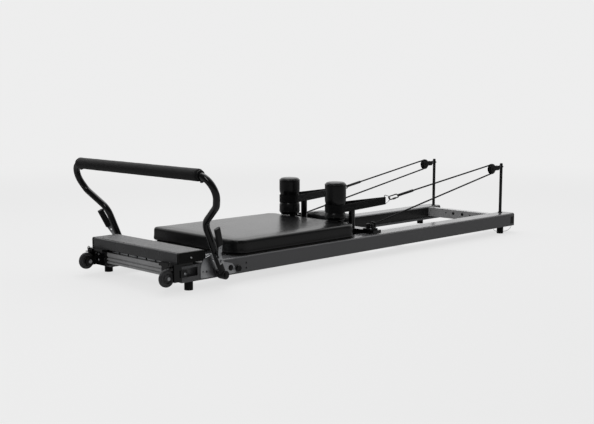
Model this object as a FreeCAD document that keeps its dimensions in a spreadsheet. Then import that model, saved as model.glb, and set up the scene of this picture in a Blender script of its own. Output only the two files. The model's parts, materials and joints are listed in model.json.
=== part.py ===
import FreeCAD, Part
import math
import os
import re
import Sketcher
from FreeCAD import Placement, Rotation, Vector

# Pilates reformer, in millimetres.  +X runs from the foot end to the head end, +Y is the left
# side for a person standing at the foot end, +Z is up.  The origin is on the floor, midway
# along the length and the width.  Distances along X in the sheet start at the foot end, and
# every finished piece is moved back by half the length.

SIZES = {
    # overall
    "total_long": 2402, "half_long": 1201,
    # rails
    "rail_start": 94, "rail_end": 2394, "rail_out": 298, "rail_in": 206, "rail_low": 36,
    "rail_top": 104, "rail_wall": 3, "rail_round": 10, "ledge_in": 184, "ledge_top": 44,
    "recess_end": 174, "recess_low": 57, "recess_high": 92, "recess_deep": 24,
    "rail_hole_rad": 3.5,
    # cross members
    "beam_start": 85, "beam_end": 98, "beam_low": 53, "beam_high": 98, "beam_half": 196,
    "beam_foot": 135, "beam_step": 80, "groove_wide": 6, "groove_deep": 5,
    "head_start": 2290, "head_end": 2330, "head_low": 50, "head_high": 100,
    "head_hole_big": 9, "head_hole_small": 4.5, "head_hole_lift": 80,
    "mid_high": 47, "mid_wide": 60, "mid_first": 760, "mid_second": 1560,
    # feet and transport wheels
    "foot_rad": 17.5, "foot_front": 145, "foot_back": 2302, "foot_side": 275,
    "wheel_place": 35, "wheel_side": 277, "wheel_lift": 60, "wheel_rad": 35, "wheel_wide": 14,
    "axle_rad": 5, "fit": 0.05,
    # standing platform
    "deck_start": 80, "deck_end": 213, "deck_low": 112, "deck_top": 154, "deck_half": 286,
    "deck_round": 7, "deck_wall": 3,
    # spring bar and springs
    "bar_start": 99, "bar_end": 113, "bar_low": 80, "bar_top": 105, "bar_half": 180,
    "spring_gap": 62.5, "spring_rad": 11, "spring_from": 138, "spring_to": 440,
    "spring_lift": 88, "hook_rad": 2,
    # footbar
    "pivot_place": 277, "pivot_lift": 50, "arm_side": 330, "tube_rad": 14, "tube_wall": 2,
    "bar_reach": 451, "bar_lean": 23.3, "grip_half": 403, "grip_rad": 24.5,
    "plate_thick": 4, "pin_reach": 64, "pin_rad": 4,
    # carriage
    "bed_start": 387, "bed_end": 1126, "bed_half": 290, "bed_low": 109, "bed_top": 171,
    "bed_corner": 50, "board_low": 106, "board_inset": 3,
    "spar_start": 420, "spar_end": 1298, "spar_in": 145, "spar_out": 175, "spar_low": 68,
    "roller_front": 450, "roller_back": 1090, "roller_rad": 20, "roller_lift": 64.3,
    "roller_in": 186, "roller_wide": 14,
    "wing_start": 1243, "wing_end": 1298, "wing_half": 282, "wing_top": 122,
    # shoulder rests and headrest
    "rest_place": 1119, "rest_side": 153, "rest_rad": 51, "rest_low": 177, "rest_top": 354,
    "peg_place": 1226, "peg_side": 160, "peg_rad": 15, "peg_top": 236,
    "head_pad_start": 1176, "head_pad_end": 1304, "head_pad_half": 120, "head_pad_low": 146,
    "head_pad_top": 184, "head_hinge_place": 1180, "head_hinge_lift": 139,
    # rope posts, pulleys and ropes
    "post_place": 2367, "post_side": 229, "post_rad": 8, "post_top": 376,
    "sheave_place": 2276, "sheave_lift": 349, "sheave_rad": 27, "sheave_wide": 14,
    "rope_round": 24.2, "rope_rad": 3.5, "eye_lift": 356,
    "cleat_place": 1266, "cleat_side": 240, "rope_home": 1284,
    "strap_thick": 4, "strap_wide": 36,
}

# The footbar arm in its own plane: y outwards, v up along the arm from the pivot, and the
# bend radius at each corner.  The last point is the middle of the top bar.
ARM_CORNERS = [(330, 0, 0), (331, 234, 66), (441, 318, 60), (510, 451, 69), (0, 451, 0)]

# Ropes of the left side; the right side mirrors them.  Each is anchored on the carriage,
# climbs to the sheave, goes half round it and comes back to the strap.
CLEAT_ROPE = (1284, 244.5, 145.5)
SLEEVE_LEFT = (1696, 207.4, 287.9)
SLEEVE_RIGHT = (1628, 204.7, 277.8)

doc = FreeCAD.newDocument("PilatesReformer")
sheet = doc.addObject("Spreadsheet::Sheet", "sheet")
sheet.Label = "dims"
for line, (word, number) in enumerate(SIZES.items(), start=1):
    sheet.set(f"A{line}", word)
    sheet.set(f"B{line}", str(number))
    sheet.setAlias(f"B{line}", word)
scratch = doc.addObject("Spreadsheet::Sheet", "scratch")
doc.recompute()

WORD = re.compile(r"\b[a-z][a-z_]+\b")
LEFT, RIGHT = 1, -1
SIDE_NAME = {LEFT: "left", RIGHT: "right"}
pieces = []


def size(word):
    """The number that the sheet holds under an alias."""
    return float(getattr(sheet, word))


def expr(text):
    """Expression text with each alias pointed at the sheet."""
    return WORD.sub(lambda found: f"dims.{found[0]}" if found[0] in SIZES else found[0], str(text))


def bind(thing, prop, text):
    thing.setExpression(prop, expr(text))


def place(thing, x="0", y="0", z="0"):
    for axis, text in zip("xyz", (x, y, z)):
        bind(thing, f"Placement.Base.{axis}", text)


def mirrored(span, side):
    """A span of y for the left side, or its mirror image."""
    low, high = span
    return (low, high) if side == LEFT else (f"-({high})", f"-({low})")


def box(x, y, z, side=LEFT):
    """A Part::Box from three spans of expression text."""
    y = mirrored(y, side)
    block = doc.addObject("Part::Box", "block")
    for prop, (low, high) in zip(("Length", "Width", "Height"), (x, y, z)):
        bind(block, prop, f"({high}) - ({low})")
    place(block, x[0], y[0], z[0])
    return block


def rod(along, radius, long, x, y, z, side=LEFT):
    """A Part::Cylinder that starts at x, y, z; y and its direction mirror on the right side."""
    turns = {"z": Rotation(), "x": Rotation(Vector(0, 1, 0), 90), "y": Rotation(Vector(1, 0, 0), -90 * side)}
    bar = doc.addObject("Part::Cylinder", "bar")
    bar.Placement = Placement(Vector(), turns[along])
    bind(bar, "Radius", radius)
    bind(bar, "Height", long)
    place(bar, x, y if side == LEFT else f"-({y})", z)
    return bar


def hoop(across, radius, thick, x, y, z):
    """A Part::Torus whose axis runs along the X or the Y axis."""
    loop = doc.addObject("Part::Torus", "loop")
    axis = Vector(1, 0, 0) if across == "x" else Vector(0, 1, 0)
    loop.Placement = Placement(Vector(), Rotation(Vector(0, 0, 1), axis))
    bind(loop, "Radius1", radius)
    bind(loop, "Radius2", thick)
    place(loop, x, y, z)
    return loop


def cut(base, *tools):
    for tool in tools:
        result = doc.addObject("Part::Cut", "cut")
        result.Base = base
        result.Tool = tool
        base = result
    return base


def join(*items):
    if len(items) == 1:
        return items[0]
    joined = doc.addObject("Part::MultiFuse", "joined")
    joined.Shapes = list(items)
    return joined


def rounded(base, chosen, radius):
    """A Part::Fillet on the edges of base that chosen() picks."""
    doc.recompute()
    soft = doc.addObject("Part::Fillet", "rounded")
    soft.Base = base
    soft.Edges = [(i, radius, radius) for i, edge in enumerate(base.Shape.Edges, 1) if chosen(edge)]
    return soft


def upright(edge):
    run = edge.valueAt(edge.LastParameter) - edge.valueAt(edge.FirstParameter)
    return abs(run.z) > 0.99 * edge.Length and edge.Length > 1


def at_height(level):
    return lambda edge: all(abs(v.Z - level) < 0.01 for v in edge.Vertexes)


def finish(label, *items):
    """Makes one finished piece of the items and moves it back by half the length."""
    if len(items) == 1 and not items[0].isDerivedFrom("Part::Primitive"):
        piece = items[0]
    else:
        piece = doc.addObject("Part::Compound", "group")
        piece.Links = list(items)
    piece.Label = label
    bind(piece, "Placement.Base.x", "-half_long")
    pieces.append(piece)
    return piece


def shaped(label, shape):
    """A finished piece whose shape is made by code, in distances from the foot end."""
    piece = doc.addObject("Part::Feature", "shaped")
    piece.Shape = shape
    piece.Label = label
    piece.Placement = Placement(Vector(-size("half_long"), 0, 0), Rotation()) * shape.Placement
    pieces.append(piece)
    return piece


# ---- PartDesign helpers -------------------------------------------------------------------

def new_body(label, x="0", y="0", z="0", final=True):
    body = doc.addObject("PartDesign::Body", "body")
    if final:
        body.Label = label
        place(body, f"({x}) - half_long", y, z)
        pieces.append(body)
    return body


def plane_of(body, role):
    return next(f for f in body.Origin.OriginFeatures if f.Role == role)


def sketch_on(body, role, offset="0"):
    sketch = body.newObject("Sketcher::SketchObject", "sketch")
    sketch.AttachmentSupport = [(plane_of(body, role), "")]
    sketch.MapMode = "FlatFace"
    bind(sketch, "AttachmentOffset.Base.z", offset)
    return sketch


def outline(sketch, corners):
    """A closed outline of straight sides; each corner is a pair of expression texts."""
    first = sketch.GeometryCount
    count = len(corners)
    values = [[sheet_value(text) for text in corner] for corner in corners]
    guess = [Vector(a, b, 0) for a, b in values]
    for i in range(count):
        sketch.addGeometry(Part.LineSegment(guess[i], guess[(i + 1) % count]))
    for i in range(count):
        sketch.addConstraint(Sketcher.Constraint("Coincident", first + i, 2, first + (i + 1) % count, 1))
    for i, corner in enumerate(corners):
        for kind, text, value in zip(("DistanceX", "DistanceY"), corner, values[i]):
            number = sketch.addConstraint(Sketcher.Constraint(kind, -1, 1, first + i, 1, value))
            sketch.setExpression(f"Constraints[{number}]", expr(text))


def ring(sketch, x, y, radius):
    """A circle whose centre and radius are expression texts."""
    place_now = Vector(sheet_value(x), sheet_value(y), 0)
    number = sketch.addGeometry(Part.Circle(place_now, Vector(0, 0, 1), sheet_value(radius)))
    for kind, text in (("DistanceX", x), ("DistanceY", y)):
        at = sketch.addConstraint(Sketcher.Constraint(kind, -1, 1, number, 3, sheet_value(text)))
        sketch.setExpression(f"Constraints[{at}]", expr(text))
    at = sketch.addConstraint(Sketcher.Constraint("Radius", number, sheet_value(radius)))
    sketch.setExpression(f"Constraints[{at}]", expr(radius))


def sheet_value(text):
    """What an expression text comes to, worked out in a cell of the scratch sheet."""
    scratch.set("A1", "=" + expr(text))
    scratch.recompute()
    return float(scratch.get("A1"))


def pad(body, sketch, length, middle=False, back=False):
    solid = body.newObject("PartDesign::Pad", "pad")
    solid.Profile = sketch
    bind(solid, "Length", length)
    solid.Midplane = middle
    solid.Reversed = back
    body.Tip = solid
    return solid


def pocket(body, sketch, length, back=False, middle=False):
    """Cuts a sketch into the body and makes sure that it took something away."""
    doc.recompute()
    before = body.Shape.Volume
    hole = body.newObject("PartDesign::Pocket", "pocket")
    hole.Profile = sketch
    bind(hole, "Length", length)
    hole.Reversed = back
    hole.Midplane = middle
    body.Tip = hole
    doc.recompute()
    if not body.Shape.Volume < before - 0.1:
        raise RuntimeError(f"a pocket of {body.Label} cuts nothing")
    return hole


def soften(body, chosen, radius):
    """A PartDesign fillet on the picked edges of the tip."""
    doc.recompute()
    tip = body.Tip
    names = [f"Edge{i}" for i, edge in enumerate(tip.Shape.Edges, 1) if chosen(edge)]
    soft = body.newObject("PartDesign::Fillet", "soften")
    soft.Base = (tip, names)
    bind(soft, "Radius", radius)
    body.Tip = soft
    return soft


def spun(body, corners):
    """A solid of revolution about the body's own Y axis; corners are (along y, radius)."""
    sketch = sketch_on(body, "YZ_Plane")
    outline(sketch, corners)
    turned = body.newObject("PartDesign::Revolution", "turned")
    turned.Profile = sketch
    turned.ReferenceAxis = (sketch, ["H_Axis"])
    turned.Angle = 360
    body.Tip = turned
    return turned


# ---- tubes along a path -------------------------------------------------------------------

def bent_path(corners, radii):
    """Straight runs joined by tangent arcs, as one wire."""
    edges = []
    start = corners[0]
    for before, corner, after, radius in zip(corners, corners[1:], corners[2:], radii):
        back = (before - corner).normalize()
        ahead = (after - corner).normalize()
        half_open = back.getAngle(ahead) / 2
        reach = radius / math.tan(half_open)
        entry = corner + back * reach
        leave = corner + ahead * reach
        inward = (back + ahead).normalize()
        middle = corner + inward * (radius / math.sin(half_open) - radius)
        edges.append(Part.LineSegment(start, entry).toShape())
        edges.append(Part.Arc(entry, middle, leave).toShape())
        start = leave
    edges.append(Part.LineSegment(start, corners[-1]).toShape())
    return Part.Wire(edges)


def tube(path, radius):
    """A round solid along a wire, checked against its section times its length."""
    first = path.Edges[0]
    begin = first.valueAt(first.FirstParameter)
    way = first.tangentAt(first.FirstParameter)
    section = Part.Wire([Part.Circle(begin, way, radius).toShape()])
    solid = path.makePipeShell([section], True, False)
    expected = math.pi * radius ** 2 * path.Length
    if abs(solid.Volume - expected) > 0.02 * expected:
        raise RuntimeError("a tube has the wrong volume")
    return solid


# ---- frame --------------------------------------------------------------------------------

def rail(side):
    """A hollow extrusion with rounded top edges, a roller ledge along its inner face, a milled
    recess at its foot end and two small holes in its outer face."""
    body = new_body(f"{SIDE_NAME[side]}_rail")

    def y(word):
        return f"{side} * ({word})"

    sketch = sketch_on(body, "YZ_Plane", "rail_start")
    outline(sketch, [(y("rail_out"), "rail_low"), (y("rail_out"), "rail_top"), (y("rail_in"), "rail_top"),
                     (y("rail_in"), "ledge_top"), (y("ledge_in"), "ledge_top"), (y("ledge_in"), "rail_low")])
    outline(sketch, [(y("rail_out - rail_wall"), "rail_low + rail_wall"),
                     (y("rail_out - rail_wall"), "rail_top - rail_wall"),
                     (y("rail_in + rail_wall"), "rail_top - rail_wall"),
                     (y("rail_in + rail_wall"), "rail_low + rail_wall")])
    pad(body, sketch, "rail_end - rail_start")

    def top_edge(edge):
        return edge.Length > 1000 and abs(edge.CenterOfMass.z - size("rail_top")) < 0.01

    def hollow_edge(edge):
        inner = size("rail_top") - size("rail_wall")
        return edge.Length > 1000 and abs(edge.CenterOfMass.z - inner) < 0.01

    soften(body, top_edge, "rail_round")
    soften(body, hollow_edge, "rail_round - rail_wall")

    window = sketch_on(body, "XZ_Plane", f"-({y('rail_out + 1')})")
    outline(window, [("rail_start - 1", "recess_low"), ("recess_end", "recess_low"),
                     ("recess_end", "recess_high"), ("rail_start - 1", "recess_high")])
    pocket(body, window, "rail_wall + 2", back=side == LEFT)
    holes = sketch_on(body, "XZ_Plane", f"-({y('rail_out + 1')})")
    for x, z in (("429", "75"), ("429", "54"), ("381", "59")):
        ring(holes, x, z, "rail_hole_rad + 0.6")
    pocket(body, holes, "rail_wall + 2", back=side == LEFT)
    web = sketch_on(body, "YZ_Plane", "rail_start")
    deep = "rail_out - recess_deep"
    outline(web, [(y(deep), "rail_low + 1"), (y(f"{deep} - 3"), "rail_low + 1"),
                  (y(f"{deep} - 3"), "rail_top - 1"), (y(deep), "rail_top - 1")])
    pad(body, web, "recess_end + 20 - rail_start")
    return body


for side in (LEFT, RIGHT):
    rail(side)

beam = new_body("foot_crossbeam")
face = sketch_on(beam, "XZ_Plane")
grooves = []
for level in ("beam_high - 16", "beam_high - 31"):
    grooves += [("beam_start", level), ("beam_start + groove_deep", level),
                ("beam_start + groove_deep", f"{level} - groove_wide"),
                ("beam_start", f"{level} - groove_wide")]
outline(face, [("beam_start", "beam_high")] + grooves +
        [("beam_start", "beam_low"), ("beam_foot", "beam_low"), ("beam_foot", "beam_step"),
         ("beam_end", "beam_step"), ("beam_end", "beam_high")])
pad(beam, face, "2 * beam_half", middle=True)

head = new_body("head_crossmember")
section = sketch_on(head, "XZ_Plane")
for wall in ("0", "4"):
    outline(section, [(f"head_start + {wall}", f"head_low + {wall}"),
                      (f"head_end - {wall}", f"head_low + {wall}"),
                      (f"head_end - {wall}", f"head_high - {wall}"),
                      (f"head_start + {wall}", f"head_high - {wall}")])
pad(head, section, "2 * rail_in", middle=True)
drilled = sketch_on(head, "YZ_Plane", "head_start - 1")
for across, radius in (("31", "head_hole_big"), ("82", "head_hole_small")):
    for sign in ("", "-"):
        ring(drilled, f"{sign}{across}", "head_hole_lift", radius)
pocket(head, drilled, "6", back=True)

finish("mid_crossmembers", *[
    box((f"{x} - mid_wide / 2", f"{x} + mid_wide / 2"), ("-ledge_in", "ledge_in"), ("rail_low", "mid_high"))
    for x in ("mid_first", "mid_second")])

caps = []
for side in (LEFT, RIGHT):
    flat = box(("rail_end", "total_long"), ("rail_in", "rail_out"), ("rail_low", "rail_top"), side)
    cap = rounded(flat, lambda edge: abs(edge.CenterOfMass.z - size("rail_top")) < 0.01
                  and abs(edge.CenterOfMass.x - size("rail_end") - 4) < 0.1, size("rail_round"))
    tab = box(("rail_end - 26", "rail_end + 4"), ("rail_out", "rail_out + 0.8"), ("48", "86"), side)
    caps.append(join(cap, tab))
finish("rail_end_caps", *caps)

finish("feet", *[
    rod("z", "foot_rad", "rail_low", x, f"{side} * foot_side", "0")
    for x in ("foot_front", "foot_back") for side in (LEFT, RIGHT)])

for side in (LEFT, RIGHT):
    block = box(("73", "rail_start"), ("beam_half", "rail_out"), ("42", "deck_low"), side)
    hood = box(("60", "rail_start"), ("beam_half", "rail_out"), ("98", "deck_low"), side)
    step = box(("43", "62"), ("264", "294"), ("96.5", "100"), side)
    shelf = box(("rail_start", "150"), ("rail_in", "rail_out"), ("rail_top", "deck_low"), side)
    cheek = box(("57", "rail_start"), ("290", "rail_out"), ("42", "deck_low"), side)
    arm = box(("wheel_place", "76"), ("252", "264"), ("44", "80"), side)
    nose = rod("y", "17", "12", "wheel_place", "252", "wheel_lift", side)
    tab = box(("rail_start - 8", "118"), ("rail_out", "302"), ("58", "86"), side)
    web = box(("rail_start - 2", "rail_start"), ("beam_half", "rail_out"), ("42", "98"), side)
    body = join(block, hood, step, shelf, cheek, arm, nose, tab, web)
    bore = rod("y", "axle_rad + fit", "14", "wheel_place", "251", "wheel_lift", side)
    finish(f"{SIDE_NAME[side]}_wheel_bracket", cut(body, bore))

finish("wheel_axle_bolts", *[
    join(rod("y", "axle_rad", "50", "wheel_place", "243", "wheel_lift", side),
         rod("y", "8", "6.6", "wheel_place", "245.2", "wheel_lift", side),
         rod("y", "7", "5", "wheel_place", "288.3", "wheel_lift", side))
    for side in (LEFT, RIGHT)])

finish("pull_rings", *[
    join(rod("z", "6", "6", "50", f"{side} * 279", "100"),
         hoop("x", "9", "1.5", "50", f"{side} * 279", "111"))
    for side in (LEFT, RIGHT)])

# standing platform: a folded shell open underneath, between two moulded end caps
deck = new_body("standing_platform")
profile = sketch_on(deck, "XZ_Plane")
outline(profile, [("deck_start", "deck_low"), ("deck_start + deck_wall", "deck_low"),
                  ("deck_start + deck_wall", "deck_top - deck_wall"),
                  ("deck_end - deck_wall", "deck_top - deck_wall"), ("deck_end - deck_wall", "deck_low"),
                  ("deck_end", "deck_low"), ("deck_end", "deck_top"), ("deck_start", "deck_top")])
pad(deck, profile, "2 * deck_half", middle=True)
soften(deck, lambda edge: edge.Length > 500 and abs(edge.CenterOfMass.z - size("deck_top")) < 0.01,
       "deck_round")

deck_caps = []
for side in (LEFT, RIGHT):
    flat = box(("deck_start", "deck_end"), ("deck_half", "rail_out"), ("deck_low", "deck_top"), side)
    deck_caps.append(rounded(flat, lambda edge: abs(edge.CenterOfMass.z - size("deck_top")) < 0.01
                             and edge.Length < 20, size("deck_round")))
finish("platform_end_caps", *deck_caps)

screws = []
for side in (LEFT, RIGHT):
    screws.append(rod("y", "4", "2", "142", "rail_out", "131", side))
    screws.append(rod("y", "5.5", "4", "106", "302", "72", side))
    for z in ("64", "90"):
        screws.append(rod("x", "4.5", "3", "70", f"{side} * 240", z))
    screws.append(rod("y", "12", "3.4", "342", "302", "66", side))
finish("frame_screws", *screws)

# spring bar: an upright strip with one notch for each spring hook
bar = new_body("spring_bar")
strip = sketch_on(bar, "XZ_Plane")
outline(strip, [("bar_start", "bar_low"), ("bar_end", "bar_low"), ("bar_end", "bar_top"),
                ("bar_start", "bar_top")])
pad(bar, strip, "2 * bar_half", middle=True)
notches = sketch_on(bar, "YZ_Plane", "bar_start - 1")
for number in range(-2, 3):
    left_edge, right_edge = f"{number} * spring_gap - 5", f"{number} * spring_gap + 5"
    outline(notches, [(left_edge, "bar_top - 8"), (right_edge, "bar_top - 8"),
                      (right_edge, "bar_top + 1"), (left_edge, "bar_top + 1")])
pocket(bar, notches, "bar_end - bar_start + 2", back=True)

springs = []
for number in range(-2, 3):
    y = f"{number} * spring_gap"
    coil = rod("x", "spring_rad", "spring_to - spring_from", "spring_from", y, "spring_lift")
    hook = rod("x", "hook_rad", "spring_from - bar_start + 4", "bar_start - 4", y, "bar_top - 4.5")
    drop = box(("spring_from - 4", "spring_from + 4"), (f"{y} - hook_rad", f"{y} + hook_rad"),
               ("spring_lift", "bar_top - 3"))
    tail = rod("x", "hook_rad", "12.8", "spring_to - 1", y, "spring_lift")
    springs.append(join(coil, hook, drop, tail))
finish("resistance_springs", *springs)

# ---- transport wheels and sheaves ---------------------------------------------------------

for side in (LEFT, RIGHT):
    wheel = new_body(f"{SIDE_NAME[side]}_wheel", "wheel_place", f"{side} * wheel_side", "wheel_lift")
    half = "wheel_wide / 2"
    hub = "wheel_wide / 2 + 3.6"
    spun(wheel, [(f"-({hub})", "axle_rad + fit"), (hub, "axle_rad + fit"), (hub, "11"), (half, "12"),
                 (f"{half} - 3", "14"), (f"{half} - 3", "24"), (half, "25"), (half, "wheel_rad - 3"),
                 (f"{half} - 3", "wheel_rad"), (f"3 - {half}", "wheel_rad"), (f"-({half})", "wheel_rad - 3"),
                 (f"-({half})", "25"), (f"3 - {half}", "24"), (f"3 - {half}", "14"), (f"-({half})", "12"),
                 (f"-({hub})", "11")])

for side in (LEFT, RIGHT):
    sheave = new_body(f"{SIDE_NAME[side]}_sheave", "sheave_place", f"{side} * post_side", "sheave_lift")
    half = "sheave_wide / 2"
    spun(sheave, [(f"-{half}", "axle_rad + fit"), (half, "axle_rad + fit"), (half, "sheave_rad"),
                  (f"{half} - 1.2", "sheave_rad"), ("3.6", "rope_round - rope_rad - 0.3"),
                  ("-3.6", "rope_round - rope_rad - 0.3"), (f"1.2 - {half}", "sheave_rad"),
                  (f"-{half}", "sheave_rad")])

# ---- rope posts and pulley housings -------------------------------------------------------

for side in (LEFT, RIGHT):
    stem = rod("z", "post_rad", "post_top - rail_top", "post_place", f"{side} * post_side", "rail_top")
    collar = rod("z", "post_rad + 4", "4", "post_place", f"{side} * post_side", "rail_top")
    post = rounded(stem, at_height(size("post_top")), 5)
    eye_hole = rod("x", "3", "40", "post_place - 20", f"{side} * post_side", "eye_lift")
    finish(f"{SIDE_NAME[side]}_rope_post", cut(join(post, collar), eye_hole))


finish("eye_bolts", *[
    join(rod("x", "2.9", "30", "post_place - post_rad - 4", f"{side} * post_side", "eye_lift"),
         rod("x", "5.5", "4", "post_place + post_rad + 2", f"{side} * post_side", "eye_lift"),
         hoop("y", "8", "2", "post_place - post_rad - 9.5", f"{side} * post_side", "eye_lift"))
    for side in (LEFT, RIGHT)])

housings = []
for side in (LEFT, RIGHT):
    cheeks = []
    for low in ("-11.5", "7.5"):
        disc = rod("y", "22", "4", "sheave_place", f"{side} * post_side + ({low})", "sheave_lift")
        tail = box(("sheave_place", "sheave_place + 56"),
                   (f"{side} * post_side + ({low})", f"{side} * post_side + ({low}) + 4"),
                   ("sheave_lift - 9", "sheave_lift + 15"))
        cheeks += [disc, tail]
    middle = f"{side} * post_side"
    heel = box(("sheave_place + 42", "sheave_place + 60"), (f"{middle} - 11.5", f"{middle} + 11.5"),
               ("sheave_lift - 4", "sheave_lift + 15"))
    nose = box(("sheave_place + 60", "sheave_place + 71.4"), (f"{middle} - 5.4", f"{middle} + 5.4"),
               ("eye_lift - 4.5", "eye_lift + 4.5"))
    pin = rod("y", "axle_rad", "27", "sheave_place", f"{middle} - 13.5", "sheave_lift")
    hole = rod("z", "3.5", "20", "sheave_place + 66.1", middle, "eye_lift - 10")
    housings.append(cut(join(*cheeks, heel, nose, pin), hole))
finish("pulley_housings", *housings)

# ---- footbar ------------------------------------------------------------------------------

lean = Rotation(Vector(0, -1, 0), size("bar_lean"))
PIVOT = Vector(size("pivot_place"), 0, size("pivot_lift"))
on_arm = Placement(PIVOT, lean)


def arm_place(body):
    """Leans a body that is drawn in the arm's own plane as the arm leans."""
    body.Placement = Placement(body.Placement.Base, lean)
    bind(body, "Placement.Rotation.Angle", "bar_lean")


arm_points = [Vector(0, y, v) for y, v, _ in ARM_CORNERS]
whole = arm_points[:-1] + [Vector(0, -p.y, p.z) for p in reversed(arm_points[:-1])]
bends = [radius for _, _, radius in ARM_CORNERS[1:-1]]
bar_path = bent_path(whole, bends + bends[::-1])
outer = tube(bar_path, size("tube_rad"))
inner = tube(bar_path, size("tube_rad") - size("tube_wall"))
steel = outer.cut(inner)
for side in (LEFT, RIGHT):
    sleeve = Part.makeCylinder(17.5, 34, Vector(0, side * 313, 0), Vector(0, side, 0))
    bore = Part.makeCylinder(6.05, 40, Vector(0, side * 310, 0), Vector(0, side, 0))
    steel = steel.cut(Part.makeCylinder(17.4, 34, Vector(0, side * 313, 0), Vector(0, side, 0)))
    steel = steel.fuse(sleeve).cut(bore)
    for w in (-13.6, 11.1):
        steel = steel.fuse(Part.makeBox(2.5, 26, 18, Vector(w, min(side * 334, side * 360), 87)))
    pin_way = Part.makeCylinder(4.3, 40, Vector(0, side * 310, size("pin_reach")), Vector(0, side, 0))
    hinge_way = Part.makeCylinder(2.56, 40, Vector(-20, side * 352, 96), Vector(1, 0, 0))
    steel = steel.cut(pin_way).cut(hinge_way)
steel = steel.removeSplitter()
steel.Placement = on_arm
shaped("footbar_tube", steel)

reach, half, thick = size("bar_reach"), size("grip_half"), size("grip_rad")
foam = Part.makeCylinder(thick, 2 * half, Vector(0, -half, reach), Vector(0, 1, 0))
foam = foam.makeFillet(9, [edge for edge in foam.Edges if edge.Curve.TypeId == "Part::GeomCircle"])
foam = foam.cut(outer)
foam.Placement = on_arm
shaped("footbar_pad", foam)

clamps = []
for side in (LEFT, RIGHT):
    collar = Part.makeCylinder(19, 12, Vector(0, side * (half + 1), reach), Vector(0, side, 0))
    lug = Part.makeBox(12, 12, 14, Vector(-6, min(side * (half + 1), side * (half + 13)), reach - 30))
    clamps.append(collar.fuse(lug).cut(outer))
clamp_shape = Part.makeCompound(clamps)
clamp_shape.Placement = on_arm
shaped("footbar_pad_clamps", clamp_shape)

finish("footbar_pivot_bolts", *[
    join(rod("y", "6", "54", "pivot_place", "rail_out", "pivot_lift", side),
         rod("y", "12", "10.6", "pivot_place", "302", "pivot_lift", side),
         rod("y", "10", "3", "pivot_place", "347.4", "pivot_lift", side))
    for side in (LEFT, RIGHT)])

PIN_ANGLES = (15, 113.3, 165)
# The plate's outline round the pivot: a tall lobe towards the foot end and a low tongue behind
PLATE_EDGE = [("-92", "-8"), ("-92", "30"), ("-88", "48"), ("-74", "70"), ("-44", "79"), ("-14", "74"),
              ("6", "52"), ("40", "42"), ("72", "34"), ("91", "14"), ("92", "-8")]


def across_plate(edge):
    way = edge.tangentAt(edge.FirstParameter)
    return abs(way.y) > 0.99 and abs(edge.Length - size("plate_thick")) < 0.01


for side in (LEFT, RIGHT):
    plate = new_body(f"{SIDE_NAME[side]}_sector_plate", "pivot_place", "0", "pivot_lift")
    outer_face = f"{side} * -rail_out" if side == LEFT else "rail_out"
    fan = sketch_on(plate, "XZ_Plane", outer_face)
    outline(fan, PLATE_EDGE)
    pad(plate, fan, "plate_thick", back=side == LEFT)
    soften(plate, across_plate, "6")
    holes = sketch_on(plate, "XZ_Plane", outer_face)
    ring(holes, "0", "0", "6.2")
    for angle in PIN_ANGLES:
        turn = math.radians(angle)
        ring(holes, f"pin_reach * {math.cos(turn):.5f}", f"pin_reach * {math.sin(turn):.5f}", "pin_rad + 1")
    ring(holes, "-80", "18", "3")
    ring(holes, "80", "8", "3")
    pocket(plate, holes, "2 * plate_thick + 2", middle=True)

for side in (LEFT, RIGHT):
    knob = join(rod("y", "rail_hole_rad", "14", "381", "290", "59", side),
                rod("y", "8", "4", "381", "299", "59", side), rod("y", "13.5", "8", "381", "303", "59", side))
    finish(f"{SIDE_NAME[side]}_pull_knob", knob)

# lock levers, drawn in the arm's plane: straight beside the pin, then leaning outwards
LEVER = [(346.5, 54), (346.5, 84), (378, 140), (396, 216)]
for side in (LEFT, RIGHT):
    lever = new_body(f"{SIDE_NAME[side]}_lock_lever", "pivot_place", "0", "pivot_lift")
    arm_place(lever)
    blade = sketch_on(lever, "YZ_Plane")
    face_in = [(f"{side * y}", f"{v}") for y, v in LEVER]
    face_out = [(f"{side * (y + 3)}", f"{v}") for y, v in reversed(LEVER)]
    outline(blade, face_in + face_out)
    pad(lever, blade, "20", middle=True)
    barrel = sketch_on(lever, "YZ_Plane")
    ring(barrel, f"{side * 352}", "96", "4.6")
    pad(lever, barrel, "21", middle=True)
    pin = sketch_on(lever, "YZ_Plane")
    ring(pin, f"{side * 352}", "96", "2.5")
    pad(lever, pin, "31", middle=True)
    slot = sketch_on(lever, "XZ_Plane", f"{-side * 344}")
    ring(slot, "0", "pin_reach", "6")
    pocket(lever, slot, "8", back=side == RIGHT)
    hole = sketch_on(lever, "XZ_Plane", f"{-side * 352}")
    ring(hole, "0", "126", "3")
    pocket(lever, hole, "24", back=side == RIGHT)

for side in (LEFT, RIGHT):
    grip = new_body(f"{SIDE_NAME[side]}_lever_grip", "pivot_place", "0", "pivot_lift")
    arm_place(grip)
    (y_low, v_low), (y_top, v_top) = LEVER[2:]
    slope = (y_top - y_low) / (v_top - v_low)
    start = v_low + 2
    side_in = [(y_low + slope * 2 - 6, start), (y_top - 6, v_top + 4)]
    side_out = [(y_top + 9, v_top + 4), (y_low + slope * 2 + 9, start)]
    shell = sketch_on(grip, "YZ_Plane")
    outline(shell, [(f"{side * y}", f"{v}") for y, v in side_in + side_out])
    pad(grip, shell, "26", middle=True)
    soften(grip, lambda edge: abs(edge.tangentAt(edge.FirstParameter).x) < 0.5
           and edge.BoundBox.ZLength > 60, "5")
    room = sketch_on(grip, "YZ_Plane")
    core_in = [(f"{side * y}", f"{v}") for y, v in ((y_low, v_low), (y_top, v_top))]
    core_out = [(f"{side * (y + 3)}", f"{v}") for y, v in ((y_top, v_top), (y_low, v_low))]
    outline(room, core_in + core_out)
    pocket(grip, room, "20", middle=True)

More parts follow.
